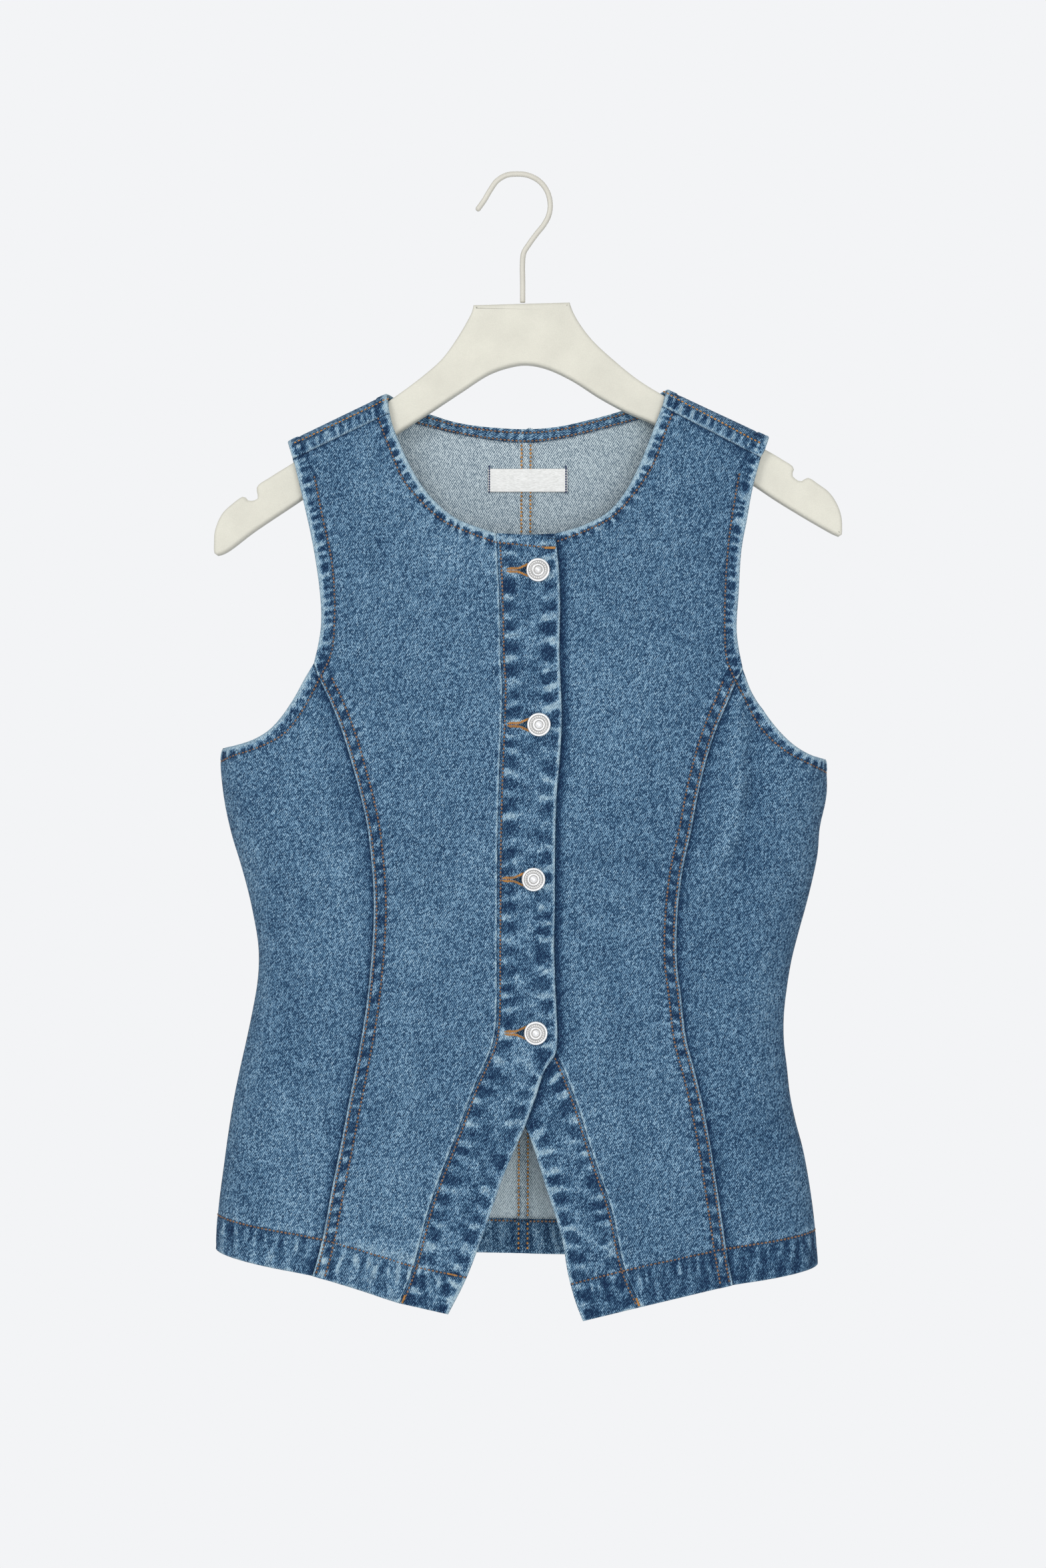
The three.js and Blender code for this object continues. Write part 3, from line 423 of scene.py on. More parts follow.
def over_shoulder(x, t):
    """Over a shoulder a place is x and t: t runs down the back from the fold, and is negative
    down the front."""
    s = np.abs(t)
    down = np.where(s < TOP_FOLD, TOP_FOLD * (1 - np.cos(np.pi * s / (2 * TOP_FOLD))), s)
    return shoulder_line(x) - down, np.where(t < 0, -1.0, 1.0)


def shoulder_t(x, z, sign):
    """The t of over_shoulder for a place of the cloth."""
    down = np.maximum(0, shoulder_line(x) - z)
    bent = 2 * TOP_FOLD * np.arccos(np.clip(1 - down / TOP_FOLD, -1, 1)) / np.pi
    return sign * np.where(down < TOP_FOLD, bent, down)


def in_t(points, sign):
    """Points x, z of one surface as x, t."""
    p = np.array(points, float)
    return np.stack([p[:, 0], shoulder_t(p[:, 0], p[:, 1], sign)], 1)


def cloth_uv(x, z, sign):
    """Millimetres across and along the cloth, so that the weave keeps its size on the folds."""
    reach = np.where(sign > 0, SIDE_FOLD[1], SIDE_FOLD[-1])
    turn = np.linspace(0, np.pi / 2, 200)
    run = arc(np.stack([1 - np.cos(turn), 0.55 * np.sin(turn)], 1))
    share = np.clip(to_side(x, z) / reach, 0, 1)
    inward = np.interp(share, 1 - np.cos(turn), run) - share
    across = x + np.sign(x) * reach * (run[-1] - 1 - inward)
    s = np.abs(shoulder_t(x, z, sign))
    line = shoulder_line(x)
    along = np.where(s < TOP_FOLD, line + 6 - 1.5 * s, z)
    return np.stack([across, along], -1)


class Line:
    """A dense line on the cloth, with its length so far at each point."""

    def __init__(self, x, z, sign, lap=0.0):
        shape = np.shape(x)
        self.x, self.z = np.asarray(x, float), np.asarray(z, float)
        self.sign = np.broadcast_to(np.asarray(sign, float), shape).copy()
        self.lap = np.broadcast_to(np.asarray(lap, float), shape).copy()
        self.points, self.normals = lay(self.x, self.z, self.sign, self.lap)
        self.run = arc(self.points)

    def at(self, where):
        """x, z, sign, lap at the lengths named."""
        pick = np.clip(np.searchsorted(self.run, where), 1, len(self.run) - 1)
        near = np.where(where - self.run[pick - 1] < self.run[pick] - where, pick - 1, pick)
        return (
            np.interp(where, self.run, self.x), np.interp(where, self.run, self.z),
            self.sign[near], self.lap[near],
        )

    def join(self, *others):
        """This line followed by others."""
        parts = (self,) + others
        names = ("x", "z", "sign", "lap")
        return Line(*[np.concatenate([getattr(p, n) for p in parts]) for n in names])


def nearest(points, line):
    """Distance from each point to a line, and the length along it there."""
    a, b = line.points[:-1], line.points[1:]
    side = b - a
    size = np.maximum((side**2).sum(1), 1e-9)
    distance, where = np.empty(len(points)), np.empty(len(points))
    for start in range(0, len(points), 4000):
        p = points[start : start + 4000]
        best = ((line.points**2).sum(1)[None] - 2 * p @ line.points.T).argmin(1)
        found = np.full(len(p), np.inf)
        spot = np.zeros(len(p))
        for shift in (-1, 0):
            k = np.clip(best + shift, 0, len(a) - 1)
            t = np.clip(((p - a[k]) * side[k]).sum(1) / size[k], 0, 1)
            gap = np.linalg.norm(p - a[k] - t[:, None] * side[k], axis=1)
            closer = gap < found
            found = np.where(closer, gap, found)
            spot = np.where(closer, mix(line.run[k], line.run[k + 1], t), spot)
        distance[start : start + 4000] = found
        where[start : start + 4000] = spot
    return distance, where


def flat_line(points, sign, lap=0.0, count=240):
    """A smooth line through points x, z of the front or the back."""
    p = smooth_line(points, count)
    return Line(p[:, 0], p[:, 1], sign, lap)


def draped_line(points, count=120):
    """A smooth line through points x, t over a shoulder."""
    p = smooth_line(points, count)
    z, sign = over_shoulder(p[:, 0], p[:, 1])
    return Line(p[:, 0], z, sign)


def armhole_loop(half):
    """The whole armhole edge: down the front, under the arm, up the back and over the shoulder."""
    front = flat_line(half["armhole"], -1).join(flat_line(half["underarm"], -1))
    back = half["armhole_back"]
    behind = flat_line(back[:0:-1], 1)
    arm = half["shoulder_arm"]
    top = [in_t([back[1]], 1)[0], (back[0][0], 0), in_t([arm], -1)[0]]
    return front.join(behind, draped_line(top, 60))


def row_behind(half):
    """Points of the armhole's stitched row on the back, and its x on the shoulder's fold."""
    toward = ARMHOLE_ROW if half is RIGHT else -ARMHOLE_ROW
    back, row = half["armhole_back"], half["armhole_stitch"]
    return [(x + toward, z - 1) for x, z in back[1:-5]] + row[-4:], back[0][0] + toward


def armhole_row(half):
    """The stitched row inside the armhole, 6 to 9 mm from its edge all round."""
    row = half["armhole_stitch"]
    behind, fold = row_behind(half)
    top = [in_t([behind[0]], 1)[0], (fold, 0), in_t([row[0]], -1)[0]]
    return flat_line(row, -1).join(flat_line(behind[::-1], 1), draped_line(top, 60))


def neck_parts(right, left, back, right_x, left_x):
    """Lines round the neck, from the right front over both shoulders to the left front."""
    wrap_right = [in_t([right[0]], -1)[0], (right_x, 0), in_t([back[0]], 1)[0]]
    wrap_left = [in_t([back[-1]], 1)[0], (left_x, 0), in_t([left[0]], -1)[0]]
    return [
        flat_line(right[::-1], -1, 1.0), draped_line(wrap_right, 60), flat_line(back, 1),
        draped_line(wrap_left, 60), flat_line(left, -1),
    ]


def neck_loop(*neck):
    """The lines round the neck as one."""
    first, *others = neck_parts(*neck)
    return first.join(*others)


def shoulder_seam(half, up=0.0):
    """The shoulder seam on the front, or a line on the back panel's wrap above it."""
    ends = in_t([half["shoulder_neck"], half["shoulder_arm"]], -1)
    p = even(ends, 80)
    z, sign = over_shoulder(p[:, 0], p[:, 1] + up)
    return Line(p[:, 0], z, sign)


def hem_line(half, up=0.0):
    """The front hem of one half or a line above it, from the side to the band's free edge."""
    lap = 1.0 if half is RIGHT else 0.0
    seam, edge = half["band_seam"][-1], half["band_edge"][-1]
    corner = half["hem"][1]
    side = float(read(turned(half["side"]), 1, corner[1] + up))
    princess = float(read(turned(half["princess"]), 1, half["hem"][0][1] + up))
    band = float(read(turned(half["band_seam"]), 1, seam[1] + up))
    free = float(read(turned(half["band_edge"]), 1, edge[1] + up))
    p = even([
        (side, corner[1] + up), (princess, half["hem"][0][1] + up), (band, seam[1] + up),
        (free, edge[1] + up),
    ], 240)
    return Line(p[:, 0], p[:, 1], -1, lap)


def back_hem(up=0.0):
    """The back's hem or a line above it, from side to side."""
    a, b = RIGHT["side"][-1], LEFT["side"][-1]
    xa = float(read(turned(RIGHT["side"]), 1, a[1] + up))
    xb = float(read(turned(LEFT["side"]), 1, b[1] + up))
    p = even([(xa, a[1] + up), (CENTRE_BACK[1][0], CENTRE_BACK[1][1] + up), (xb, b[1] + up)], 300)
    return Line(p[:, 0], p[:, 1], 1)


def make_lines():
    """Every edge, seam and row that shapes the relief, by name."""
    lines = {
        "neck": neck_loop(RIGHT["neck"], LEFT["neck"], BACK_NECK, *NECK_FOLD),
        "neck_row": neck_loop(
            RIGHT["neck_stitch"], LEFT["neck_stitch"], BACK_NECK_STITCH, *NECK_ROW_FOLD,
        ),
        "back_hem": back_hem(),
        "back_hem_row": back_hem(HEM_DEPTH),
        "centre_back": flat_line(CENTRE_SEAM, 1, count=300),
    }
    for half in (RIGHT, LEFT):
        name, lap = half["name"], 1.0 if half is RIGHT else 0.0
        lines[f"armhole_{name}"] = armhole_loop(half)
        lines[f"armhole_row_{name}"] = armhole_row(half)
        lines[f"princess_{name}"] = flat_line(half["princess"], -1, lap, 300)
        lines[f"shoulder_{name}"] = shoulder_seam(half)
        lines[f"band_seam_{name}"] = flat_line(half["band_seam"], -1, lap, 400)
        lines[f"band_edge_{name}"] = flat_line(half["band_edge"], -1, lap, 400)
        lines[f"hem_{name}"] = hem_line(half)
        lines[f"hem_row_{name}"] = hem_line(half, HEM_DEPTH)
        lines[f"side_{name}"] = flat_line(half["side"], -1, count=200)
    return lines


LINES = make_lines()


def bell(d, centre, width):
    """One at the centre, falling as e to the minus square of the distance in widths."""
    return np.exp(-(((d - centre) / width) ** 2))


def window(d, start, end, soft=0.8):
    """One between start and end, with soft borders."""
    return smooth((d - start) / soft) * (1 - smooth((d - end) / soft))


def roll(d, radius):
    """The fall of a rounded edge."""
    near = 1 - np.clip(d / radius, 0, 1)
    return radius * (np.sqrt(np.clip(1 - near * near, 0, 1)) - 1)


def pucker(s, d, pitch, slant, seed, dark=0.2):
    """Patches along a seam, uneven in length and height, from -1 in the indigo valleys to 1 on
    the worn ridges between them; dark widens the valleys."""
    phase = s / pitch + 0.5 * noise(s / (1.6 * pitch), d / 34, seed) + slant * d / pitch
    size = 0.8 + 0.4 * noise(s / pitch, d / 9, seed + 1)
    rough = 0.55 * noise(s / 3.6, d / 4.4, seed + 2) + 0.25 * noise(s / 1.6, d / 1.9, seed + 3)
    return np.tanh(1.9 * (np.sin(2 * np.pi * phase) - dark + rough)) * size


def turned_edge(d, s, row, pitch, seed):
    """An edge turned in over a strip: a worn rounded fold, a puckered rim and a stitched groove."""
    p = pucker(s, d, pitch, 0.12, seed)
    rim = window(d, 2.0, 7.3, 1.0)
    beyond = np.exp(-np.maximum(0, d - 8.6) / 3.2) * smooth((d - 7.9) / 1.2)
    rise = 0.5 * (1 - smooth((d - 7.4) / 2.2)) + roll(d, 1.5) - 0.45 * bell(row, 0, 0.8)
    rise += 0.2 * p * rim + 0.16 * p * beyond
    tone = 1.0 * (1 - smooth((d - 2.1 - 0.7 * p) / 1.7)) + (1.15 * p - 0.15) * window(d, 2.8, 7.5, 1.1)
    # darker in the stitched groove: partly indigo kept there, partly painted shade
    tone += 0.55 * p * beyond - 0.9 * bell(row, 0, 0.9)
    return rise, tone


def felled_high(d, s, pitch, seed):
    """The upper side of a felled seam: a ridge at the edge and two stitched grooves, 1.8 and
    8 mm in."""
    p = pucker(s, d, pitch, 0.4, seed)
    beyond = np.exp(-np.maximum(0, d - 8.8) / 4.5) * smooth((d - 8) / 1)
    rise = 0.55 * (1 - smooth((d - 8.6) / 2)) + roll(d, 0.9) + 0.2 * bell(d, 0.9, 0.6)
    rise -= 0.36 * bell(d, 2, 0.6) + 0.38 * bell(d, 8, 0.8)
    rise += 0.18 * p * window(d, 2.5, 7.6) + 0.16 * p * beyond
    fine = pucker(s, d, 5.2, 0.3, seed + 4, 0)
    # darker in both stitched grooves: partly indigo kept there, partly painted shade
    tone = 0.85 * bell(d, 0.5, 0.9) - 0.9 * bell(d, 2.2, 0.8)
    tone += (0.85 * p - 0.3) * window(d, 2.4, 7.6) - 0.9 * bell(d, 8, 0.9) + 0.6 * fine * beyond
    return rise, tone


def felled_low(d, s, pitch, seed):
    """The lower side of a felled seam, drawn in towards the crack."""
    p = pucker(s, d, pitch, 0.5, seed)
    rise = -0.55 * np.exp(-d / 1.6) + 0.12 * p * np.exp(-d / 4)
    # painted shade in the crack under the upper side
    tone = -1.5 * np.exp(-d / 1.5) - 0.25 * np.exp(-d / 5) + 0.3 * p * np.exp(-d / 6)
    return rise, tone


def panel_at_band(d, s, seed):
    """A front panel where it meets its band: turned under and puckered in long waves."""
    p = pucker(s, d, 11, 0.35, seed, 0)
    rise = roll(d, 0.9) + 0.16 * p * np.exp(-d / 5)
    tone = 0.8 * bell(d, 0.7, 0.9) + 0.3 * p * np.exp(-d / 6)
    return rise, tone


def band_at_seam(d, s, seed):
    """A band beside its seam: a stitched groove and wide level puckers."""
    p = pucker(s, d, 13.2, 0.06, seed, 0.3)
    rise = -0.35 * np.exp(-d / 0.8) - 0.34 * bell(d, 2.2, 0.7) + 0.18 * p * np.exp(-np.maximum(0, d - 1) / 7)
    # painted shade in the seam's crack, and a darker stitched groove: partly indigo kept there, partly
    # painted shade
    tone = -0.6 * np.exp(-d / 0.7) - 0.75 * bell(d, 2.2, 0.75)
    tone += (1.0 * p - 0.05) * smooth((d - 1.8) / 1.5) * (1 - smooth((d - 9) / 6))
    return rise, tone


def band_at_edge(d, s, seed):
    """A band's free edge: a worn fold and wide level puckers."""
    p = pucker(s, d, 14, -0.05, seed, 0.3)
    rise = roll(d, 1.5) + 0.14 * p * np.exp(-d / 6)
    tone = 0.9 * bell(d, 0.6, 1.5)
    tone += (1.0 * p - 0.05) * smooth((d - 1.6) / 1.6) * (1 - smooth((d - 9) / 6))
    return rise, tone


def hem_edge(d, s, row, seed):
    """A turned hem: a rounded fold, slanted roping and a stitched groove 24 mm up."""
    p = pucker(s, d, 13.0, 0.2, seed, 0.15)
    fine = pucker(s, d, 7.4, 0.1, seed + 5, 0.25)
    inside = 1 - smooth((d - HEM_DEPTH + 0.6) / 2)
    under_row = bell(d, HEM_DEPTH - 6, 6) * inside
    beyond = np.exp(-np.maximum(0, d - HEM_DEPTH - 0.8) / 3.5) * smooth((d - HEM_DEPTH) / 1.2)
    rise = 0.5 * inside + roll(d, 1.5) - 0.5 * bell(row, 0, 0.9)
    rise += 0.24 * p * inside * window(d, 1, 23) + 0.12 * fine * under_row + 0.14 * fine * beyond
    tone = 0.8 * bell(d, 0.2, 1.2) + (0.5 * p - 0.25) * inside * (0.6 + 0.5 * bell(d, 6, 7))
    # darker in the stitched groove: partly indigo kept there, partly painted shade
    tone += 0.8 * fine * under_row + (0.6 + 0.35 * fine) * beyond - 1.2 * bell(row, 0, 1.0)
    return rise, tone


def seam_in_hem(d, high, width=10.5):
    """The bump where a felled seam runs into the hem, with painted shade at its sides."""
    sides = bell(d, width, 1.6) if high else bell(d, 0, 1.8)
    top = (1 - smooth((d - width + 1.5) / 1.5)) * high
    return 0.6 * top - 0.4 * sides, 0.3 * top - 0.9 * sides


def shoulder_high(d, s, seed):
    """The back panel's edge on the front of the shoulder, with its row 7.8 mm above."""
    p = pucker(s, d, 6.2, 0.15, seed, 0.25)
    beyond = np.exp(-np.maximum(0, d - 8.6) / 4) * smooth((d - 8) / 1)
    rise = 0.45 * (1 - smooth((d - 8.2) / 2)) + roll(d, 1.1) - 0.4 * bell(d, 7.8, 0.8)
    rise += 0.28 * p * window(d, 0.9, 7.2) + 0.16 * p * beyond
    # darker in the stitched groove: partly indigo kept there, partly painted shade
    tone = bell(d, 0.3, 1.0) + 0.95 * p * window(d, 1.4, 7.2) - 0.9 * bell(d, 7.8, 0.75)
    tone += 0.4 * p * beyond
    return rise, tone


def shoulder_low(d, s, seed):
    """The front panel under the shoulder seam, drawn in towards it."""
    p = pucker(s, d, 6.2, 0.2, seed)
    rise = -0.5 * np.exp(-d / 1.6) + 0.14 * p * np.exp(-d / 5)
    # painted shadow under the edge of the back panel
    tone = -1.5 * np.exp(-d / 1.0) + 0.5 * p * np.exp(-d / 6)
    return rise, tone


def centre_seam(d, s, high, seed):
    """The felled seam of the centre back, on its upper or lower side."""
    if high:
        return felled_high(d, s, 6, seed)
    p = pucker(s, d, 6, 0.6, seed)
    rise = -0.4 * np.exp(-d / 1.6) + 0.1 * p * np.exp(-d / 4)
    # painted shade in the crack beside the upper side
    return rise, -1.2 * np.exp(-d / 0.9) + 0.3 * p * np.exp(-d / 4)


def side_seam(d, s, seed):
    """A plain seam on the side, with a fine crack."""
    p = pucker(s, d, 6, 0.4, seed)
    rise = -0.25 * np.exp(-d / 1.5) + 0.12 * p * np.exp(-d / 4)
    # painted shade in the seam's crack
    return rise, 0.3 * bell(d, 1.8, 1) - 0.8 * np.exp(-d / 0.8) + 0.4 * p * np.exp(-d / 5)


def relief(piece, points):
    """How far the outer face stands proud at points of the cloth, in millimetres, and its tone:
    below zero where indigo stays in the valleys and where shade is painted into cracks, grooves
    and beside the lapped edge, above zero where wear has paled it and where a highlight is
    painted on the creases."""
    flat = points.reshape(-1, 3)
    near = lambda name: nearest(flat, LINES[name])
    rise, tone = np.zeros(len(flat)), np.zeros(len(flat))

    def take(pair):
        nonlocal rise, tone
        rise, tone = rise + pair[0], tone + pair[1]

    if piece == "label":
        return 0.5 * noise(points[..., 0] / 7, points[..., 2] / 40, 3), tone.reshape(points.shape[:-1])
    half = "right" if piece.endswith("right") else "left"
    seed = 11 if half == "right" else 47
    if piece in ("front_left", "band_left"):
        # painted shadow: the right band's lapped edge darkens the left front and band beside it
        edge = near("band_edge_right")[0]
        take((-0.3 * np.exp(-edge / 2.5), -2.4 * np.exp(-((edge / 4.3) ** 2))))
    if piece.startswith(("front_right", "front_left")):
        take(turned_edge(*near(f"armhole_{half}"), near(f"armhole_row_{half}")[0], 6.4, seed))
        take(turned_edge(*near("neck"), near("neck_row")[0], 6.6, seed + 3))
        take(felled_high(*near(f"princess_{half}"), 9.6, seed + 6))
        take(panel_at_band(*near(f"band_seam_{half}"), seed + 9))
        take(hem_edge(*near(f"hem_{half}"), near(f"hem_row_{half}")[0], seed + 12))
        take(shoulder_low(*near(f"shoulder_{half}"), seed + 15))
    elif piece.startswith("side"):
        take(turned_edge(*near(f"armhole_{half}"), near(f"armhole_row_{half}")[0], 6.4, seed))
        take(felled_low(*near(f"princess_{half}"), 9.6, seed + 6))
        take(hem_edge(*near(f"hem_{half}"), near(f"hem_row_{half}")[0], seed + 12))
        take(side_seam(*near(f"side_{half}"), seed + 18))
    elif piece.startswith("back"):
        take(turned_edge(*near(f"armhole_{half}"), near(f"armhole_row_{half}")[0], 6.4, seed))
        take(turned_edge(*near("neck"), near("neck_row")[0], 6.6, seed + 3))
        take(shoulder_high(*near(f"shoulder_{half}"), seed + 15))
        clear = smooth((near("neck")[0] - 0.5) / 4)
        take([clear * part for part in centre_seam(*near("centre_back"), half == "right", seed + 21)])
        take(hem_edge(*near("back_hem"), near("back_hem_row")[0], 71))
        take(side_seam(*near(f"side_{half}"), seed + 18))
    elif piece.startswith("strip"):
        d, s = near("neck")
        width = d + near("neck_row")[0]
        p = pucker(s, d, 7, 0.15, seed, 0.1)
        # darker along the strip's two stitched rows: partly indigo kept there, partly painted shade
        take((roll(d, 0.8) + 0.14 * p, 0.6 * bell(d, 0, 0.9) + 0.5 * p - 0.7 * bell(d, 0.28 * width, 0.7)))
        take((roll(near("neck_row")[0], 0.6), -0.7 * bell(near("neck_row")[0], 0.12 * width, 0.7)))
    elif piece.startswith("centre"):
        d, s = near("centre_back")
        p = pucker(s, d, 6, 0.5, seed, 0.0)
        take((0.1 * p, 0.9 * bell(d, 0.4, 0.8) + 0.9 * bell(d, 9.4, 0.8) + 0.35 * p * window(d, 2.4, 7.4)))
        # painted shade along both stitched rows of the felled strip
        for row in (1.9, 8):
            take((-0.25 * bell(d, row, 0.6), -1.3 * bell(d, row, 1.2)))
    elif piece.startswith("turn"):
        d, s = near("back_hem")
        p = pucker(s, d, 8, 0.2, seed, 0.1)
        take((0.2 * p, 0.5 * p * bell(d, 14, 8) + 0.6 * bell(d, 0, 1.5)))
        # painted shade at both sides of the felled strip's end, where it lies on the hem
        near_centre = near("centre_back")[0]
        take((0, -0.9 * bell(near_centre, 11.2, 1.5) - 0.9 * bell(near_centre, 0, 1.5)))
    elif piece.startswith("band"):
        take(band_at_seam(*near(f"band_seam_{half}"), seed + 24))
        take(band_at_edge(*near(f"band_edge_{half}"), seed + 27))
        d, s = near("neck")
        take(turned_edge(d, s, near("neck_row")[0], 6.6, seed + 3))
        take(hem_edge(*near(f"hem_{half}"), near(f"hem_row_{half}")[0], seed + 12))
    if piece.startswith(("front", "side", "band")):
        in_hem = 1 - smooth((near(f"hem_{half}")[0] - HEM_DEPTH + 1) / 2)
        high = 1.0 if piece.startswith("front") else 0.0
        bump, shade = seam_in_hem(near(f"princess_{half}")[0], high)
        take((bump * in_hem, shade * in_hem))
    cloud = noise(flat[:, 0] / 7, flat[:, 2] / 6, seed + 30)
    cloud += 0.6 * noise(flat[:, 0] / 3, flat[:, 2] / 2.4, seed + 31)
    patchy = 0.42 if piece.startswith("band") else 0.08
    tone += patchy * cloud + 0.14 * noise(flat[:, 0] / 30, flat[:, 2] / 42, seed + 32)
    if piece.startswith(("front", "side", "band")):
        # painted shade: darker towards the wearer's left, away from the key light; and a painted highlight
        # on each crease's ridge with painted shade in its hollow
        tone -= 0.2 * smooth((flat[:, 0] - 70) / 80) - 0.1 * front_folds(flat[:, 0], flat[:, 2])
        in_hem = smooth((-flat[:, 2] - 700) / 15)
        tone += in_hem * (0.32 - 0.5 * smooth((flat[:, 0] + 20) / 60))
    if piece.startswith("band"):
        tone -= 0.1 + (0.16 * smooth((-flat[:, 2] - 610) / 60) if half == "right" else -0.08)
    shape = points.shape[:-1]
    return np.clip(rise, -0.8, 1.0).reshape(shape), np.clip(tone, -1.3, 1.3).reshape(shape)


def linear(hex_colour):
    """A linear RGBA colour from an sRGB hex one."""
    parts = [int(hex_colour[i : i + 2], 16) / 255 for i in (1, 3, 5)]
    return [c / 12.92 if c <= 0.04045 else ((c + 0.055) / 1.055) ** 2.4 for c in parts] + [1.0]


def node(tree, kind, inputs=None, **settings):
    """Adds a shader node, sets its properties, and links or sets its inputs."""
    made = tree.nodes.new(kind)
    for key, value in settings.items():
        setattr(made, key, value)
    for key, value in (inputs or {}).items():
        if isinstance(value, bpy.types.NodeSocket):
            tree.links.new(value, made.inputs[key])
        else:
            made.inputs[key].default_value = value
    return made


def new_material(name):
    """A material with a principled shader, its node tree and the shader."""
    material = bpy.data.materials.new(name)
    material.use_nodes = True
    tree = material.node_tree
    tree.nodes.clear()
    shader = node(tree, "ShaderNodeBsdfPrincipled")
    node(tree, "ShaderNodeOutputMaterial", {"Surface": shader.outputs[0]})
    return material, tree, shader


def math_node(tree, operation, a, b=0.0, c=0.0):
    """The result of one sum or function of up to three values."""
    return node(tree, "ShaderNodeMath", {0: a, 1: b, 2: c}, operation=operation).outputs[0]


def streaks(tree, coordinates, angle, across, along, detail=2.0, rough=0.5):
    """Noise drawn out into threads: across and along are its sizes in millimetres."""
    mapping = node(
        tree, "ShaderNodeMapping",
        {"Vector": coordinates, "Rotation": (0, 0, angle)}, vector_type="TEXTURE",
    )
    mapping.inputs["Scale"].default_value = (across, along, 1)
    return node(
        tree, "ShaderNodeTexNoise",
        {"Vector": mapping.outputs[0], "Scale": 1.0, "Detail": detail, "Roughness": rough},
        noise_dimensions="2D",
    ).outputs[0]


def speckle(tree, place, scale, detail):
    """A noise value at a place."""
    return node(tree, "ShaderNodeTexNoise", {"Vector": place, "Scale": scale, "Detail": detail}).outputs[0]


def add_bump(tree, shader, height, strength, distance):
    """A fine bump on a shader, its distance in metres."""
    bump = node(tree, "ShaderNodeBump", {"Height": height, "Strength": strength, "Distance": distance})
    tree.links.new(bump.outputs[0], shader.inputs["Normal"])


def ramp(tree, value, stops):
    """A colour from a value, by stops of place and hex colour."""
    made = node(tree, "ShaderNodeValToRGB", {"Fac": value})
    bar = made.color_ramp
    while len(bar.elements) < len(stops):
        bar.elements.new(0.5)
    for element, (at, colour) in zip(bar.elements, stops):
        element.position, element.color = at, linear(colour)
    return made.outputs[0]


def twill_cells(tree, uv, slant, across, along, shift):
    """One random value for each small float of yarn, lying along the twill."""
    turn = node(tree, "ShaderNodeMapping", {"Vector": uv, "Rotation": (0, 0, slant)}, vector_type="TEXTURE")
    turn.inputs["Scale"].default_value = (across, along, 1)
    turn.inputs["Location"].default_value = (shift, 0.37 * shift, 0)
    cell = node(tree, "ShaderNodeVectorMath", {0: turn.outputs[0]}, operation="FLOOR").outputs[0]
    return node(tree, "ShaderNodeTexWhiteNoise", {"Vector": cell}, noise_dimensions="2D").outputs["Value"]


def denim(name, stops, slant, tone_share, weave, worn, middle):
    """Stone-washed three-by-one twill: diagonal ribs 1.07 mm apart, single yarn floats in
    different blues, slubs, specks and soft mottling. It is darker in the puckers and in the
    painted shade of cracks and grooves, and worn pale on the folds, with painted highlights on the
    creases."""
    material, tree, shader = new_material(name)
    uv = node(tree, "ShaderNodeUVMap", uv_map="cloth").outputs[0]
    tone = node(tree, "ShaderNodeAttribute", attribute_name="tone").outputs["Fac"]
    pitch = 2 * math.pi / RIB_PITCH
    wave = (pitch * math.cos(slant), pitch * math.sin(slant), 0)
    place = node(tree, "ShaderNodeVectorMath", {0: uv, 1: wave}, operation="DOT_PRODUCT").outputs["Value"]
    waver = streaks(tree, uv, 0.0, 3.0, 5.0, 1.0)
    rib = math_node(tree, "SINE", math_node(tree, "MULTIPLY_ADD", waver, 3.0, place))
    floats = twill_cells(tree, uv, slant, RIB_PITCH / 2, 1.15, 0.0)
    speck = twill_cells(tree, uv, 0.0, 0.9, 1.3, 7.7)
    slub = streaks(tree, uv, 0.0, 1.1, 22.0, 2.0)
    cloud = streaks(tree, uv, 0.4, 2.2, 3.0, 3.0, 0.6)
    mottle = streaks(tree, uv, 0.2, 14.0, 20.0, 3.0)
    total = math_node(tree, "MULTIPLY", rib, weave[0])
    for source, share in zip((floats, speck, slub, cloud, mottle), weave[1:]):
        total = math_node(tree, "MULTIPLY_ADD", source, share, total)
    total = math_node(tree, "ADD", total, middle - 0.5 * sum(weave[1:]))
    value = math_node(tree, "MULTIPLY_ADD", tone, tone_share, total)
    rubbed = node(
        tree, "ShaderNodeMapRange",
        {"Value": tone, "From Min": 0.3, "From Max": 1.3, "To Max": 0.5},
    ).outputs[0]
    colour = node(
        tree, "ShaderNodeMix", {"Factor": rubbed, "A": ramp(tree, value, stops), "B": linear(worn)},
        data_type="RGBA",
    )
    height = math_node(tree, "MULTIPLY_ADD", rib, 0.5, math_node(tree, "MULTIPLY", floats, 0.8))
    tree.links.new(colour.outputs["Result"], shader.inputs["Base Color"])
    add_bump(tree, shader, height, 0.35, 0.0003)
    shader.inputs["Roughness"].default_value = 0.9
    shader.inputs["Specular IOR Level"].default_value = 0.2
    shader.inputs["Sheen Weight"].default_value = 0.03
    shader.inputs["Sheen Roughness"].default_value = 0.5
    return material


def thread_material(name, colour):
    """Twisted cotton-wrapped sewing thread with a low sheen."""
    material, tree, shader = new_material(name)
    place = node(tree, "ShaderNodeTexCoord").outputs["Object"]
    twist = speckle(tree, place, 2600.0, 2.0)
    patch = speckle(tree, place, 160.0, 2.0)
    value = math_node(tree, "MULTIPLY_ADD", patch, 0.6, math_node(tree, "MULTIPLY", twist, 0.5))
    dark, light = shade(colour, 0.62), shade(colour, 1.3)
    tinted = ramp(tree, value, [(0.3, dark), (0.55, colour), (0.8, light)])
    tree.links.new(tinted, shader.inputs["Base Color"])
    add_bump(tree, shader, twist, 0.4, 0.0002)
    shader.inputs["Roughness"].default_value = 0.6
    return material


def shade(hex_colour, factor):
    """A hex colour made darker or lighter."""
    parts = [min(255, int(int(hex_colour[i : i + 2], 16) * factor)) for i in (1, 3, 5)]
    return "#%02x%02x%02x" % tuple(parts)


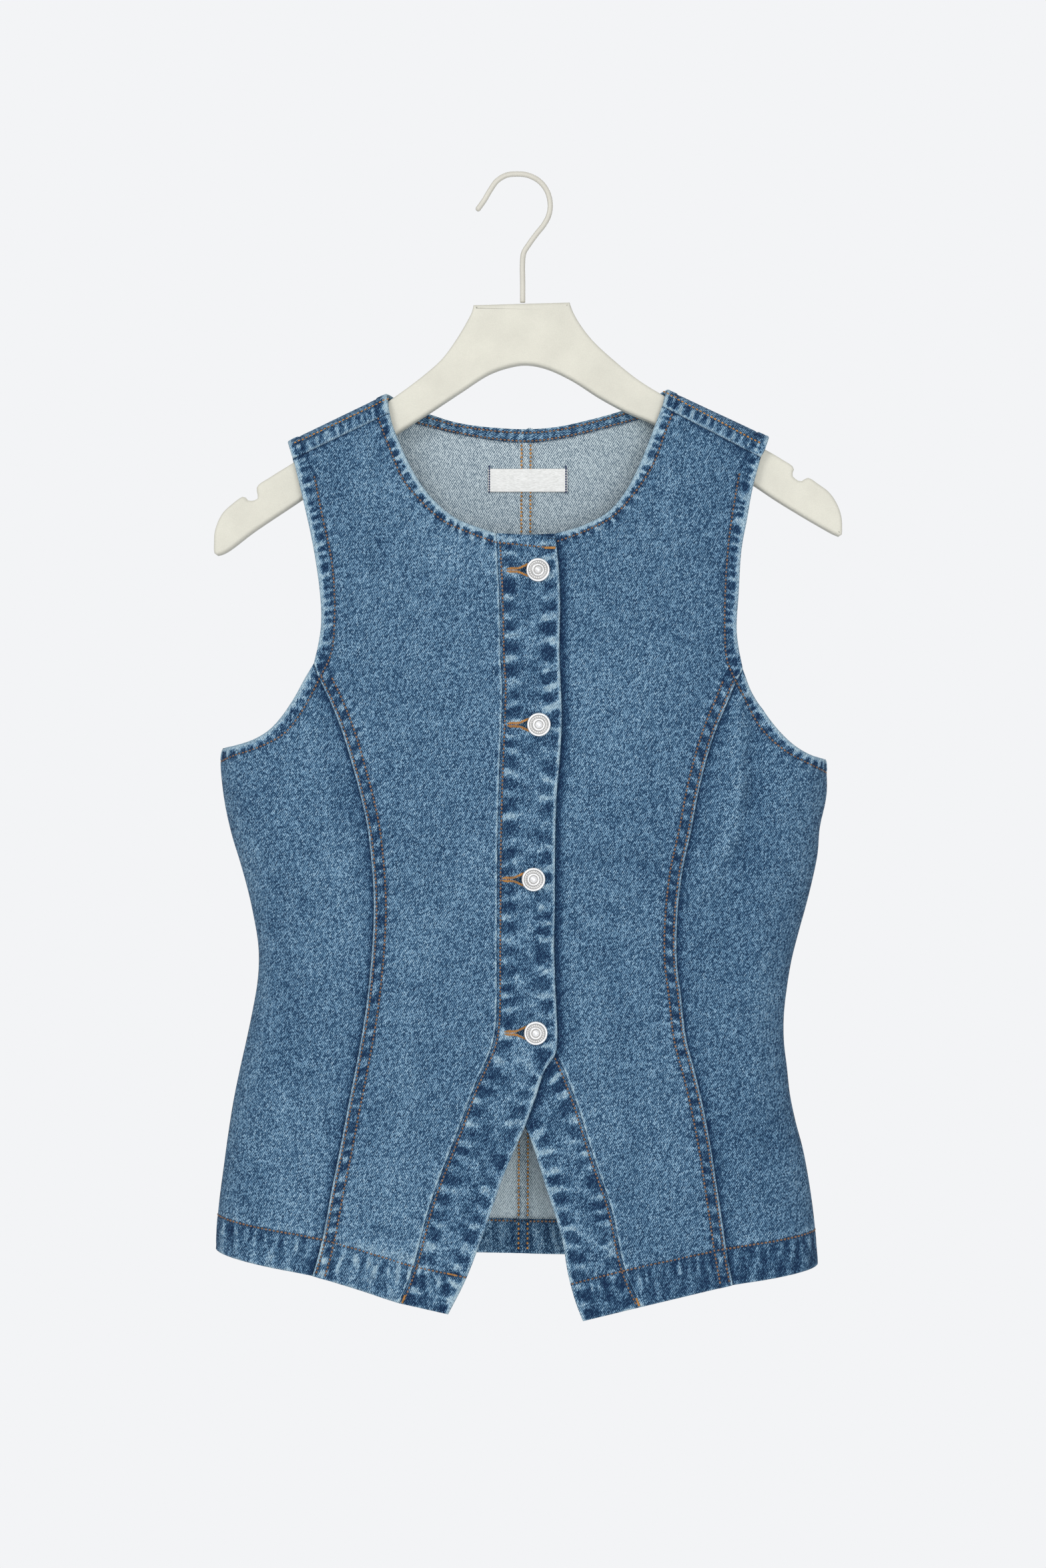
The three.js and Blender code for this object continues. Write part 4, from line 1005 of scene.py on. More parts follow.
def nickel_material():
    """Satin nickel plate, bright on the raised parts and greyer in the recessed rings between them."""
    material, tree, shader = new_material("satin_nickel")
    place = node(tree, "ShaderNodeTexCoord").outputs["Object"]
    fine = speckle(tree, place, 900.0, 3.0)
    cloud = speckle(tree, place, 170.0, 2.0)
    low = node(tree, "ShaderNodeAttribute", attribute_name="tone").outputs["Fac"]
    plate = ramp(tree, cloud, [(0.3, "#f0efed"), (0.6, "#ffffff")])
    colour = node(
        tree, "ShaderNodeMix", {"Factor": low, "A": plate, "B": linear("#b4b3b1")},
        data_type="RGBA",
    )
    tree.links.new(colour.outputs["Result"], shader.inputs["Base Color"])
    rough = node(tree, "ShaderNodeMapRange", {"Value": fine, "To Min": 0.24, "To Max": 0.38}).outputs[0]
    tree.links.new(rough, shader.inputs["Roughness"])
    add_bump(tree, shader, fine, 0.12, 0.0002)
    shader.inputs["Metallic"].default_value = 0.4
    return material


def label_material():
    """White woven satin ribbon with fine cross ribs."""
    material, tree, shader = new_material("white_satin_ribbon")
    place = node(tree, "ShaderNodeTexCoord").outputs["Object"]
    mapping = node(tree, "ShaderNodeMapping", {"Vector": place, "Scale": (500, 500, 2600)})
    ribs = speckle(tree, mapping.outputs[0], 1.0, 2.0)
    white = ramp(tree, ribs, [(0.3, "#d9d9d5"), (0.65, "#f4f4f1")])
    tree.links.new(white, shader.inputs["Base Color"])
    add_bump(tree, shader, ribs, 0.3, 0.0002)
    shader.inputs["Roughness"].default_value = 0.45
    return material


def moulded_material(name, colour, grain, roughness):
    """Moulded or dip-coated surface with a fine grain and faint clouding."""
    material, tree, shader = new_material(name)
    place = node(tree, "ShaderNodeTexCoord").outputs["Object"]
    fine = speckle(tree, place, 1400.0, 3.0)
    cloud = speckle(tree, place, 45.0, 4.0)
    value = math_node(tree, "MULTIPLY_ADD", fine, 0.4, math_node(tree, "MULTIPLY", cloud, 0.6))
    tinted = ramp(tree, value, [(0.3, shade(colour, 0.94)), (0.65, colour)])
    tree.links.new(tinted, shader.inputs["Base Color"])
    add_bump(tree, shader, fine, grain, 0.0003)
    shader.inputs["Roughness"].default_value = roughness
    return material


def materials(settings):
    """Every finish by name, made once."""
    if MATERIALS:
        return MATERIALS
    base = settings.face_colour_hex()
    outer = [
        (0.08, "#0e2848"), (0.25, "#1e425f"), (0.4, "#3f627f"), (0.5, base), (0.6, "#6b90ac"),
        (0.76, "#92b6ce"), (0.95, "#bcd2dd"),
    ]
    inside = [
        (0.1, "#4a5d6e"), (0.3, "#738593"), (0.5, "#9fb2bb"), (0.7, "#c0d0d7"), (0.92, "#dbe7ea"),
    ]
    weave = (0.2, 0.56, 0.02, 0.15, 0.0, 0.08)
    MATERIALS["face"] = denim("washed_indigo_twill", outer, -0.511, 0.27, weave, "#adc2c8", 0.421)
    inner_weave = (0.5, 0.7, 0.12, 0.1, 0.12, 0.14)
    MATERIALS["inside"] = denim("twill_inside", inside, 0.511, 0.22, inner_weave, "#c5d3d8", 0.5)
    MATERIALS["topstitch"] = thread_material("copper_brown_thread", settings.thread_hex())
    MATERIALS["tack"] = thread_material("orange_brown_thread", "#b88240")
    MATERIALS["hole"] = thread_material("golden_buttonhole_thread", "#bb8338")
    MATERIALS["navy"] = thread_material("dark_blue_thread", "#24365e")
    MATERIALS["nickel"] = nickel_material()
    MATERIALS["ribbon"] = label_material()
    MATERIALS["hanger"] = moulded_material("matte_cream_moulded_fibre", "#e4e1d2", 0.25, 0.55)
    MATERIALS["wire"] = moulded_material("cream_dip_coating", "#ddd9cc", 0.1, 0.35)
    return MATERIALS


MATERIALS = {}


def add_mesh(name, points, faces, paints, pick=None, uv=None, tone=None, sizes=None):
    """A mesh object from arrays: points in millimetres, and faces as one array of equal faces,
    or a flat array with sizes."""
    mesh = bpy.data.meshes.new(name)
    corners = np.asarray(faces).ravel().astype(np.int32)
    if sizes is None:
        sizes = np.full(len(faces), faces.shape[1])
    starts = np.concatenate([[0], np.cumsum(sizes)[:-1]]).astype(np.int32)
    mesh.vertices.add(len(points))
    mesh.vertices.foreach_set("co", (np.asarray(points) * 0.001).astype(np.float32).ravel())
    mesh.loops.add(len(corners))
    mesh.loops.foreach_set("vertex_index", corners)
    mesh.polygons.add(len(sizes))
    mesh.polygons.foreach_set("loop_start", starts)
    if pick is not None:
        mesh.polygons.foreach_set("material_index", np.asarray(pick, np.int32))
    mesh.polygons.foreach_set("use_smooth", np.ones(len(sizes), bool))
    mesh.update(calc_edges=True)
    if uv is not None:
        layer = mesh.uv_layers.new(name="cloth")
        layer.data.foreach_set("uv", np.asarray(uv)[corners].astype(np.float32).ravel())
    if tone is not None:
        values = mesh.attributes.new("tone", "FLOAT", "POINT").data
        values.foreach_set("value", np.asarray(tone, np.float32).ravel())
    mesh.validate()
    for paint in paints:
        mesh.materials.append(MATERIALS[paint])
    piece = bpy.data.objects.new(name, mesh)
    bpy.context.scene.collection.objects.link(piece)
    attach(piece, "root")
    return piece


def grid_faces(rows, columns, keep, ring=False):
    """Quads of the outer face, the inner face and the rims of a wall on a grid of points."""
    def corner(j, i, inner):
        return (j % rows) * columns + i + inner * rows * columns

    j, i = np.nonzero(keep)
    steps = ((0, 0), (0, 1), (1, 1), (1, 0))
    outer = np.stack([corner(j + dj, i + di, 0) for dj, di in steps], 1)
    inner = outer[:, ::-1] + rows * columns
    rims = []
    padded = np.pad(keep, 1)
    if ring:
        padded[0, 1:-1], padded[-1, 1:-1] = keep[-1], keep[0]
    for dj, di, a, b in (
        (-1, 0, (0, 0), (0, 1)), (1, 0, (1, 1), (1, 0)), (0, -1, (1, 0), (0, 0)), (0, 1, (0, 1), (1, 1)),
    ):
        beside = padded[1 + dj : 1 + dj + keep.shape[0], 1 + di : 1 + di + keep.shape[1]]
        open_side = keep & ~beside
        jj, ii = np.nonzero(open_side)
        p, q = (jj + a[0], ii + a[1]), (jj + b[0], ii + b[1])
        rims.append(np.stack([corner(*q, 0), corner(*p, 0), corner(*p, 1), corner(*q, 1)], 1))
    return outer, inner, np.concatenate(rims)


def cloth_wall(name, spots, thickness, paints, relief_name=None, inset=0.0, keep=None, ring=False,
               sew=False, uv_turn=False, inner_shows=False):
    """A closed wall on the cloth from a grid of places (x, z, sign, lap). Returns the object and
    its flat area in square metres."""
    x, z, sign, lap = [np.broadcast_to(s, spots[0].shape).astype(float) for s in spots]
    points, normals = lay(x, z, sign, lap)
    rise, tone = np.zeros(x.shape), np.zeros(x.shape)
    if relief_name:
        rise, tone = relief(relief_name, points)
    points = points.copy()
    if sew:
        near = to_side(x, z) < 0.4
        points[..., 1] = np.where(near, sign * SEAM_GAP / 2, points[..., 1])
        rise = np.where(near, 0, rise)
    if inner_shows:
        outer = points - normals * inset
        inner = points - normals * (inset + thickness + rise)[..., None]
    else:
        outer = points + normals * (rise - inset)[..., None]
        inner = points - normals * (inset + thickness)
    rows, columns = x.shape
    if keep is None:
        keep = np.ones((rows if ring else rows - 1, columns - 1), bool)
    faces = grid_faces(rows, columns, keep, ring)
    verts = np.concatenate([outer.reshape(-1, 3), inner.reshape(-1, 3)])
    flat = cloth_uv(x, z, sign)
    if uv_turn:
        flat = flat[..., ::-1]
    uv = np.concatenate([flat.reshape(-1, 2)] * 2)
    quads = np.concatenate(faces)
    pick = np.concatenate([np.zeros(len(faces[0])), np.ones(len(faces[1])), np.zeros(len(faces[2]))])
    a, b, c, d = (verts[faces[0][:, k]] for k in range(4))
    across = np.cross(c - a, d - b)
    middle = normals.reshape(-1, 3)[faces[0][:, 0]]
    if (across * middle).sum() < 0:
        quads = quads[:, ::-1]
    area = np.linalg.norm(across, axis=1).sum() / 2 * 1e-6
    tones = np.concatenate([tone.ravel(), tone.ravel()])
    if not inner_shows:
        # the inside is less worn; near the hem it is painted paler, painted light for the inside that lies
        # in shade behind the front
        tones[tone.size :] *= 0.35
        tones[tone.size :] += 0.8 * smooth((-z.ravel() - 600) / 70)
    used, renamed = np.unique(quads, return_inverse=True)
    piece = add_mesh(
        name, verts[used], renamed.reshape(quads.shape), paints, pick, uv[used], tones[used],
    )
    return piece, area


def pair_rows(a, b, w, gap_a=0.0, gap_b=0.0):
    """Rows between two lines with as many points each; w is where the columns stand, 0 to 1."""
    width = np.abs(b[:, 0] - a[:, 0])
    start, end = gap_a / width, 1 - gap_b / width
    share = start[:, None] + (end - start)[:, None] * w[None]
    return mix(a[:, :1], b[:, :1], share), mix(a[:, 1:], b[:, 1:], share), share


def columns_for(count, crowd_ends, towards_edge=False):
    """Column places from 0 to 1, closer at both ends, and closer still at the folded end."""
    u = np.linspace(0, 1, count + 1)
    u = u - crowd_ends * np.sin(2 * np.pi * u) / (2 * np.pi)
    return np.sin(u * np.pi / 2) if towards_edge else u


def sheet_size(piece, area):
    """The rectangle that holds the cut: from the cloth's own coordinates."""
    layer = piece.data.uv_layers["cloth"].data
    uv = np.empty(len(layer) * 2, np.float32)
    layer.foreach_get("uv", uv)
    size = np.ptp(uv.reshape(-1, 2), axis=0) * 0.001
    width, length = float(size[0]), float(size[1])
    grow = max(1.0, area / (width * length) * 1.01)
    return (width * grow, length)


def front_centre(half):
    """A centre panel of the front: rows from the princess seam and armhole to the band and neck."""
    name, lap = half["name"], 1.0 if half is RIGHT else 0.0
    low, arm = 320, 96
    up = lambda seam, curve: np.vstack([
        smooth_line(half[seam][::-1], low), smooth_line(half[curve][::-1], arm)[1:],
    ])
    outer, inner = up("princess", "armhole"), up("band_seam", "neck")
    x, z, _ = pair_rows(outer, inner, columns_for(72, 0.62))
    piece, area = cloth_wall(
        f"cloth_front_{name}", (x, z, -1.0, lap), WALL, ("face", "inside"), f"front_{name}",
    )
    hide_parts(f"front_{name}")
    return piece, area


def front_side(half):
    """A side panel of the front: rows from the princess seam to the side, which sag with the
    square of their height to meet the underarm."""
    name = half["name"]
    low = 300
    princess = smooth_line(half["princess"][::-1], low)
    side = smooth_line(half["side"][::-1], low)
    w = columns_for(62, 0.4, True)
    x, z, share = pair_rows(princess, side, w)
    under = smooth_line(half["underarm"], 200)
    first, last = half["underarm"][0], half["underarm"][-1]
    order = np.argsort(np.abs(under[:, 0]))
    want = mix(first[0], last[0], share[-1])
    curve = np.interp(np.abs(want), np.abs(under[order, 0]), under[order, 1])
    sag = curve - mix(first[1], last[1], share[-1])
    v = np.linspace(0, 1, low + 1)[:, None]
    z = z + v * v * sag[None]
    piece, area = cloth_wall(
        f"cloth_side_{name}", (x, z, -1.0, 0.0), WALL, ("face", "inside"), f"side_{name}", sew=True,
    )
    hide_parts(f"side_{name}")
    return piece, area


def back_panel(half):
    """A back panel with its wrap over the shoulder. Its rows stay level up to the underarm, then
    climb to the corner of the centre seam and the neck."""
    name = half["name"]
    toward = -1 if half is RIGHT else 1
    low, under, arm, top = 270, 120, 72, 26
    seam_top, seam_bottom = CENTRE_SEAM
    share = (UNDERARM_LEVEL - seam_bottom[1]) / (seam_top[1] - seam_bottom[1])
    level = (mix(seam_bottom[0], seam_top[0], share), UNDERARM_LEVEL)
    neck_line = [seam_top] + (BACK_NECK[:5][::-1] if toward < 0 else BACK_NECK[5:])
    arm_up = in_t(half["armhole_back"][:0:-1], 1)
    neck_up = in_t(neck_line, 1)
    front_t = lambda p: (p[0], float(in_t([p], -1)[0, 1]))
    arm_top = [tuple(arm_up[-1]), (half["armhole_back"][0][0], 0), front_t(half["shoulder_arm"])]
    neck_top = [tuple(neck_up[-1]), (half["fold"][0] + 0.5 * toward, 0), front_t(half["shoulder_neck"])]
    side = smooth_line(half["side"][::-1], low)
    turn = len(arm_up) - sum(z > -290 for x, z in half["armhole_back"][1:])
    outer = np.vstack([
        in_t(side, 1), smooth_line(arm_up[: turn + 1], under)[1:], smooth_line(arm_up[turn:], arm)[1:],
        smooth_line(arm_top, top)[1:],
    ])
    inner = np.vstack([
        in_t(even([seam_bottom, level], low), 1), in_t(even([level, seam_top], under), 1)[1:],
        smooth_line(neck_up, arm)[1:], smooth_line(neck_top, top)[1:],
    ])
    x, t, _ = pair_rows(inner, outer, columns_for(94, 0.35, True))
    z, sign = over_shoulder(x, t)
    piece, area = cloth_wall(
        f"cloth_back_{name}", (x, z, sign, 0.0), WALL, ("face", "inside"), f"back_{name}", sew=True,
    )
    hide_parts(f"back_{name}")
    return piece, area


def button_x(z):
    """x of the buttons' row at a height."""
    return read([(at, x) for x, at in BUTTONS], 1, z)


def hole_width(x, z_button):
    """Half the opening of a buttonhole at x: closed at its bar, widest round the shank."""
    from_button = x - button_x(z_button)
    grows = smooth((from_button + HOLE_BAR) / 9)
    ends = np.sqrt(np.clip((HOLE_END - from_button) / 2.5, 0, 1))
    return HOLE_OPEN * grows * ends


def band_rows(half, extra):
    """Height pairs of a band's rows at its seam and at its free edge."""
    top_seam, top_edge = half["band_seam"][0][1], half["band_edge"][0][1]
    end_seam, end_edge = half["band_seam"][-1][1], half["band_edge"][-1][1]
    upper = np.arange(-244.0, BEND, -1.05)
    for z in extra:
        upper = upper[np.abs(upper - z) > 0.5]
    upper = np.sort(np.concatenate([upper, extra]))[::-1]
    below = np.linspace(BEND, end_seam, 178)
    edge_below = mix(BEND - 2, end_edge, (BEND - below) / (BEND - end_seam))
    lead = np.linspace(0, 1, 5)[:-1]
    seam_z = np.concatenate([mix(top_seam, -244.6, lead), upper, below[1:]])
    edge_z = np.concatenate([mix(top_edge, -244.6, lead), upper, edge_below[1:]])
    return seam_z, edge_z


def curve_x(points, z):
    """x of a line at a height."""
    line = smooth_line(points, 900)
    order = np.argsort(line[:, 1])
    return np.interp(z, line[order, 1], line[order, 0])


def overlap_band():
    """The right band, slit at each button: its rows part round the slit as the square of the
    distance left to 11 mm."""
    half = RIGHT
    cuts = np.array([z + s for _, z in BUTTONS for s in (0.12, -0.12)])
    seam_z, edge_z = band_rows(half, cuts)
    seam_x, edge_x = curve_x(half["band_seam"], seam_z), curve_x(half["band_edge"], edge_z)
    w = columns_for(40, 0.3)
    x = mix(seam_x[:, None], edge_x[:, None], w[None])
    z = mix(seam_z[:, None], edge_z[:, None], w[None])
    keep = np.ones((len(seam_z) - 1, len(w) - 1), bool)
    base = z.copy()
    for bx, bz in BUTTONS:
        away = base - bz
        push = hole_width(x, bz) * np.clip(1 - np.abs(away) / 11, 0, 1) ** 2
        push = np.where(np.abs(away) < 11, push, 0)
        z = z + np.sign(away) * push
        j = int(np.argmin(np.abs(seam_z - (bz + 0.12))))
        middle = (x[j, 1:] + x[j, :-1]) / 2
        inside = (middle > button_x(bz) - HOLE_BAR) & (middle < button_x(bz) + HOLE_END)
        keep[j] &= ~inside
    piece, area = cloth_wall(
        "cloth_band_right", (x, z, -1.0, 1.0), BAND_WALL, ("face", "face"), "band_right", keep=keep,
    )
    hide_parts("front_band_right")
    return piece, area


def underlap_band():
    """The left band, with a hole for each button's shank."""
    half = LEFT
    seam_z, edge_z = band_rows(half, np.array([z for _, z in BUTTONS]))
    seam_x, edge_x = curve_x(half["band_seam"], seam_z), curve_x(half["band_edge"], edge_z)
    w = columns_for(40, 0.3)
    x = mix(edge_x[:, None], seam_x[:, None], w[None])
    z = mix(edge_z[:, None], seam_z[:, None], w[None])
    keep = np.ones((len(seam_z) - 1, len(w) - 1), bool)
    mid_x = (x[1:, 1:] + x[:-1, :-1]) / 2
    mid_z = (z[1:, 1:] + z[:-1, :-1]) / 2
    for bx, bz in BUTTONS:
        keep &= np.hypot(mid_x - bx, mid_z - bz) > SHANK_RADIUS + 0.5
    piece, area = cloth_wall(
        "cloth_band_left", (x, z, -1.0, 0.0), BAND_WALL, ("face", "face"), "band_left", keep=keep,
    )
    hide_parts("front_band_left")
    return piece, area


def strip_grid(edge, line, columns=9):
    """A grid between two lines with as many points each, both as arrays of x, z, sign, lap."""
    w = np.linspace(0, 1, columns + 1)[None, :]
    grid = [mix(edge[k][:, None], line[k][:, None], w) for k in (0, 1)]
    sign = np.broadcast_to(edge[2][:, None], grid[0].shape)
    lap = np.broadcast_to(edge[3][:, None], grid[0].shape)
    return grid[0], grid[1], sign, lap


def matched(parts, counts):
    """Lines joined end to end, each with its own number of places."""
    picked = [
        line.at(np.linspace(0, line.run[-1], count + 1)) for line, count in zip(parts, counts)
    ]
    return [np.concatenate([p[k][:-1] for p in picked] + [picked[-1][k][-1:]]) for k in range(4)]


def wrapped_grid(edge_parts, line_parts, counts, columns=9):
    """A strip over the shoulders: each part is interpolated on the cloth itself, by x and t."""
    edge, line = matched(edge_parts, counts), matched(line_parts, counts)
    w = np.linspace(0, 1, columns + 1)[None, :]
    te = shoulder_t(edge[0], edge[1], edge[2])
    tl = shoulder_t(line[0], line[1], line[2])
    x = mix(edge[0][:, None], line[0][:, None], w)
    t = mix(te[:, None], tl[:, None], w)
    z, sign = over_shoulder(x, t)
    lap = np.broadcast_to(edge[3][:, None], x.shape)
    return x, z, sign, lap


def neck_strip():
    """The strip inside the neck, all round."""
    edge_right = RIGHT["neck"][:-1] + [(-15.2, -240.4)]
    edge_left = LEFT["neck"][:-1] + [(24.7, -240.4)]
    edge = neck_parts(edge_right, edge_left, BACK_NECK, *NECK_FOLD)
    line = neck_parts(RIGHT["neck_stitch"], LEFT["neck_stitch"], BACK_NECK_STITCH, *NECK_ROW_FOLD)
    grid = wrapped_grid(edge, line, (90, 24, 130, 24, 90))
    piece, area = cloth_wall(
        "cloth_neck_strip", grid, STRIP_WALL, ("face", "face"), "strip_left", WALL + STRIP_GAP,
        uv_turn=True, inner_shows=True,
    )
    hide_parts("neck_facing")
    return piece, area


def armhole_strip(half):
    """The strip inside an armhole, all round."""
    name, back = half["name"], half["armhole_back"]
    behind, fold = row_behind(half)

    def loop(points, fold, rear):
        top = [in_t([points[0]], -1)[0], (fold, 0), in_t([rear[0]], 1)[0]]
        return [flat_line(points[::-1], -1), draped_line(top, 60), flat_line(rear, 1)]

    edge = loop(half["armhole"] + half["underarm"][1:], back[0][0], back[1:])
    line = loop(half["armhole_stitch"], fold, behind)
    grid = wrapped_grid(edge, line, (150, 24, 150), 8)
    grid = tuple(g[:-1] for g in grid)
    piece, area = cloth_wall(
        f"cloth_armhole_strip_{name}", grid, STRIP_WALL, ("face", "face"),
        inset=WALL + STRIP_GAP + 0.25, ring=True,
    )
    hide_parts(f"armhole_facing_{name}")
    return piece, area


def hem_strip():
    """The hem's turned edge inside the front and the back, from band to band."""
    def end_of(half, seam, up, step=0):
        z = half[seam][-1][1] + up
        return float(read(turned(half[seam]), 1, z)) + step, z

    def edge_at(up):
        corners = [end_of(half, "side", up) for half in (RIGHT, LEFT)]
        ends = [end_of(RIGHT, "band_seam", up, -2), end_of(LEFT, "band_seam", up, 2)]
        lift = lambda p: (p[0], p[1] + up)
        centre = lift(CENTRE_BACK[1])
        return [
            flat_line([ends[0], lift(RIGHT["hem"][0]), corners[0]], -1, 1.0),
            flat_line([corners[0], centre, corners[1]], 1, count=400),
            flat_line([corners[1], lift(LEFT["hem"][0]), ends[1]], -1),
        ]

    counts = (90, 260, 90)
    grid = strip_grid(matched(edge_at(0.6), counts), matched(edge_at(HEM_DEPTH), counts), 12)
    piece, area = cloth_wall(
        "cloth_hem_turn", grid, STRIP_WALL, ("face", "face"), "turn_left", WALL + STRIP_GAP,
        inner_shows=True,
    )
    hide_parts("hem_facing")
    return piece, area


def centre_strip():
    """The felled seam's strip inside the back, from the neck strip to the hem, and its end on the
    turned hem, as two pieces."""
    edge = np.array(CENTRE_SEAM, float)
    made = []
    for name, top, bottom, inset, paint in (
        ("cloth_centre_strip", -171, -722, WALL, "inside"),
        ("cloth_centre_strip_hem", -700.5, -722.6, ON_STRIP, "face"),
    ):
        count = int((top - bottom) / 1.2)
        z = np.linspace(top, bottom, count + 1)[:, None] * np.ones((1, 11))
        seam = np.interp(-z[:, :1], -edge[:, 1], edge[:, 0])
        x = seam - 0.5 - np.linspace(0, 9.2, 11)[None]
        made.append(cloth_wall(
            name, (x, z, 1.0, 0.0), FELL_WALL, (paint, paint), "centre_left", inset,
            inner_shows=True,
        ))
    return made


def stitch_shape():
    """A short arched thread: rings of six points between two poles, one unit long each way."""
    at = np.array([-0.86, -0.42, 0.42, 0.86])
    size = np.array([0.62, 1.0, 1.0, 0.62])
    turn = np.arange(6) * np.pi / 3
    ring = np.stack([
        np.repeat(at, 6), np.outer(size, np.cos(turn)).ravel(), np.outer(size, np.sin(turn)).ravel(),
    ], 1)
    points = np.vstack([[-1, 0, -0.1], ring, [1, 0, -0.1]])
    faces = []
    for r in range(3):
        for k in range(6):
            a, b = 1 + 6 * r + k, 1 + 6 * r + (k + 1) % 6
            faces += [(a, a + 6, b + 6), (a, b + 6, b)]
    for k in range(6):
        faces += [(0, 1 + k, 1 + (k + 1) % 6), (25, 19 + (k + 1) % 6, 19 + k)]
    return points, np.array(faces)


def threads(centres, along, normals, lengths, widths, height=0.5, arch=0.25):
    """Copies of the stitch shape, each laid along its own direction on the cloth."""
    shape, faces = stitch_shape()
    along = along - (along * normals).sum(1, keepdims=True) * normals
    along /= np.linalg.norm(along, axis=1, keepdims=True)
    across = np.cross(normals, along)
    run = shape[None, :, 0:1] * np.reshape(lengths, (-1, 1, 1)) / 2
    side = shape[None, :, 1:2] * np.reshape(widths, (-1, 1, 1)) / 2
    up = shape[None, :, 2:3] * height / 2 - arch * shape[None, :, 0:1] ** 2
    points = centres[:, None] + run * along[:, None] + side * across[:, None] + up * normals[:, None]
    count = len(centres)
    all_faces = faces[None] + (np.arange(count) * len(shape))[:, None, None]
    return points.reshape(-1, 3), all_faces.reshape(-1, 3)


def row_of_stitches(line, piece, seed, pitch=2.6, start=1.5, end=1.5, width=1.25, under=None):
    """Stitches in a row along a line on a piece of cloth, or on its inside at the depth under."""
    rng = np.random.default_rng(seed)
    count = max(2, int((line.run[-1] - start - end) / pitch))
    at = np.linspace(start, line.run[-1] - end, count)
    spots = line.at(at)
    ahead = lay(*line.at(at + 0.6))[0]
    points, normals = lay(*spots)
    behind = lay(*line.at(at - 0.6))[0]
    rise, _ = relief(piece, points)
    along = ahead - behind
    across = np.cross(normals, along)
    along = along + across * rng.uniform(-0.07, 0.07, (count, 1))
    if under is None:
        centres = points + normals * (rise + 0.2)[:, None]
    else:
        normals = -normals
        centres = points + normals * (under + rise + 0.2)[:, None]
    lengths = pitch * rng.uniform(0.68, 0.78, count)
    return threads(centres, along, normals, lengths, width * rng.uniform(0.88, 1.1, count), 0.6)


def tack_bar(x, z, angle, piece, sign=-1.0, lap=0.0, length=6.5, width=1.9, seed=1):
    """A bar tack: close satin stitches across a short bar."""
    rng = np.random.default_rng(seed)
    count = int(length / 0.42)
    t = np.linspace(-length / 2, length / 2, count)
    c, s = math.cos(angle), math.sin(angle)
    px, pz = x + c * t, z + s * t
    points, normals = lay(px, pz, sign, lap)
    rise, _ = relief(piece, points)
    across = np.stack([np.full(count, -s), np.zeros(count), np.full(count, c)], 1)
    along = across + 0.16 * np.stack([np.full(count, c), np.zeros(count), np.full(count, s)], 1)
    centres = points + normals * (rise + 0.28)[:, None]
    return threads(centres, along, normals, width * rng.uniform(0.92, 1.06, count), 0.55, 0.6, 0.3)


def join(parts):
    points, faces, base = [], [], 0
    for p, f in parts:
        points.append(p)
        faces.append(f + base)
        base += len(p)
    return np.concatenate(points), np.concatenate(faces)


def offset_line(points, distance, sign, lap, trim=(0.0, 0.0), count=400):
    """A line beside a seam, shortened at its ends, on the cloth."""
    p = offset(smooth_line(points, count), distance)
    run = arc(p)
    kept = p[(run >= trim[0]) & (run <= run[-1] - trim[1])]
    return Line(kept[:, 0], kept[:, 1], sign, lap)


def part_of(line, start, end):
    """The part of a line between two lengths."""
    at = np.linspace(start, end, max(8, int((end - start) / 1.2)))
    return Line(*line.at(at))


def topstitches():
    """Every copper-brown row of the front, side and band pieces."""
    rows = []
    for half in (RIGHT, LEFT):
        name, lap = half["name"], 1.0 if half is RIGHT else 0.0
        inward = 1 if half is RIGHT else -1
        front = f"front_{name}"
        for k, (distance, start) in enumerate(zip(DOUBLE_ROW, (9, 12))):
            line = offset_line(half["princess"], inward * distance, -1, lap, (start, 1.5))
            rows.append(row_of_stitches(line, front, 100 + k))
        arm = flat_line(half["armhole_stitch"][1:], -1)
        rows.append(row_of_stitches(arm, front, 110))
        neck = flat_line(half["neck_stitch"], -1, lap)
        rows.append(row_of_stitches(neck, front, 112))
        seam = offset_line(half["band_seam"], inward * 2.2, -1, lap, (5, 1.5))
        if half is LEFT:
            seam = part_of(seam, seam.run[-1] * 0.66, seam.run[-1])
        rows.append(row_of_stitches(seam, f"band_{name}", 114))
        hem = hem_line(half, HEM_DEPTH)
        rows.append(row_of_stitches(hem, front, 116, width=1.45))
        rows.append(row_of_stitches(flat_line(row_behind(half)[0], 1), f"back_{name}", 118))
    across = even([(20.5, -250.2), (-15.5, -246.5)], 60)
    rows.append(row_of_stitches(Line(across[:, 0], across[:, 1], -1, 1.0), "band_right", 121, end=0.5))
    rows.append(row_of_stitches(back_hem(HEM_DEPTH), "back_right", 122))
    rows.append(row_of_stitches(flat_line(BACK_NECK_STITCH, 1), "back_right", 124))
    upper, lower = smooth_line(BACK_NECK, 200), smooth_line(BACK_NECK_STITCH, 200)
    for share in (0.28, 0.88):
        p = mix(upper, lower, share)
        rows.append(row_of_stitches(Line(p[:, 0], p[:, 1], 1), "strip_left", 126, under=ON_STRIP))
    inside = back_hem(HEM_DEPTH - 1.4)
    rows.append(row_of_stitches(inside, "turn_left", 127, width=1.45, under=ON_STRIP))
    return join(rows)


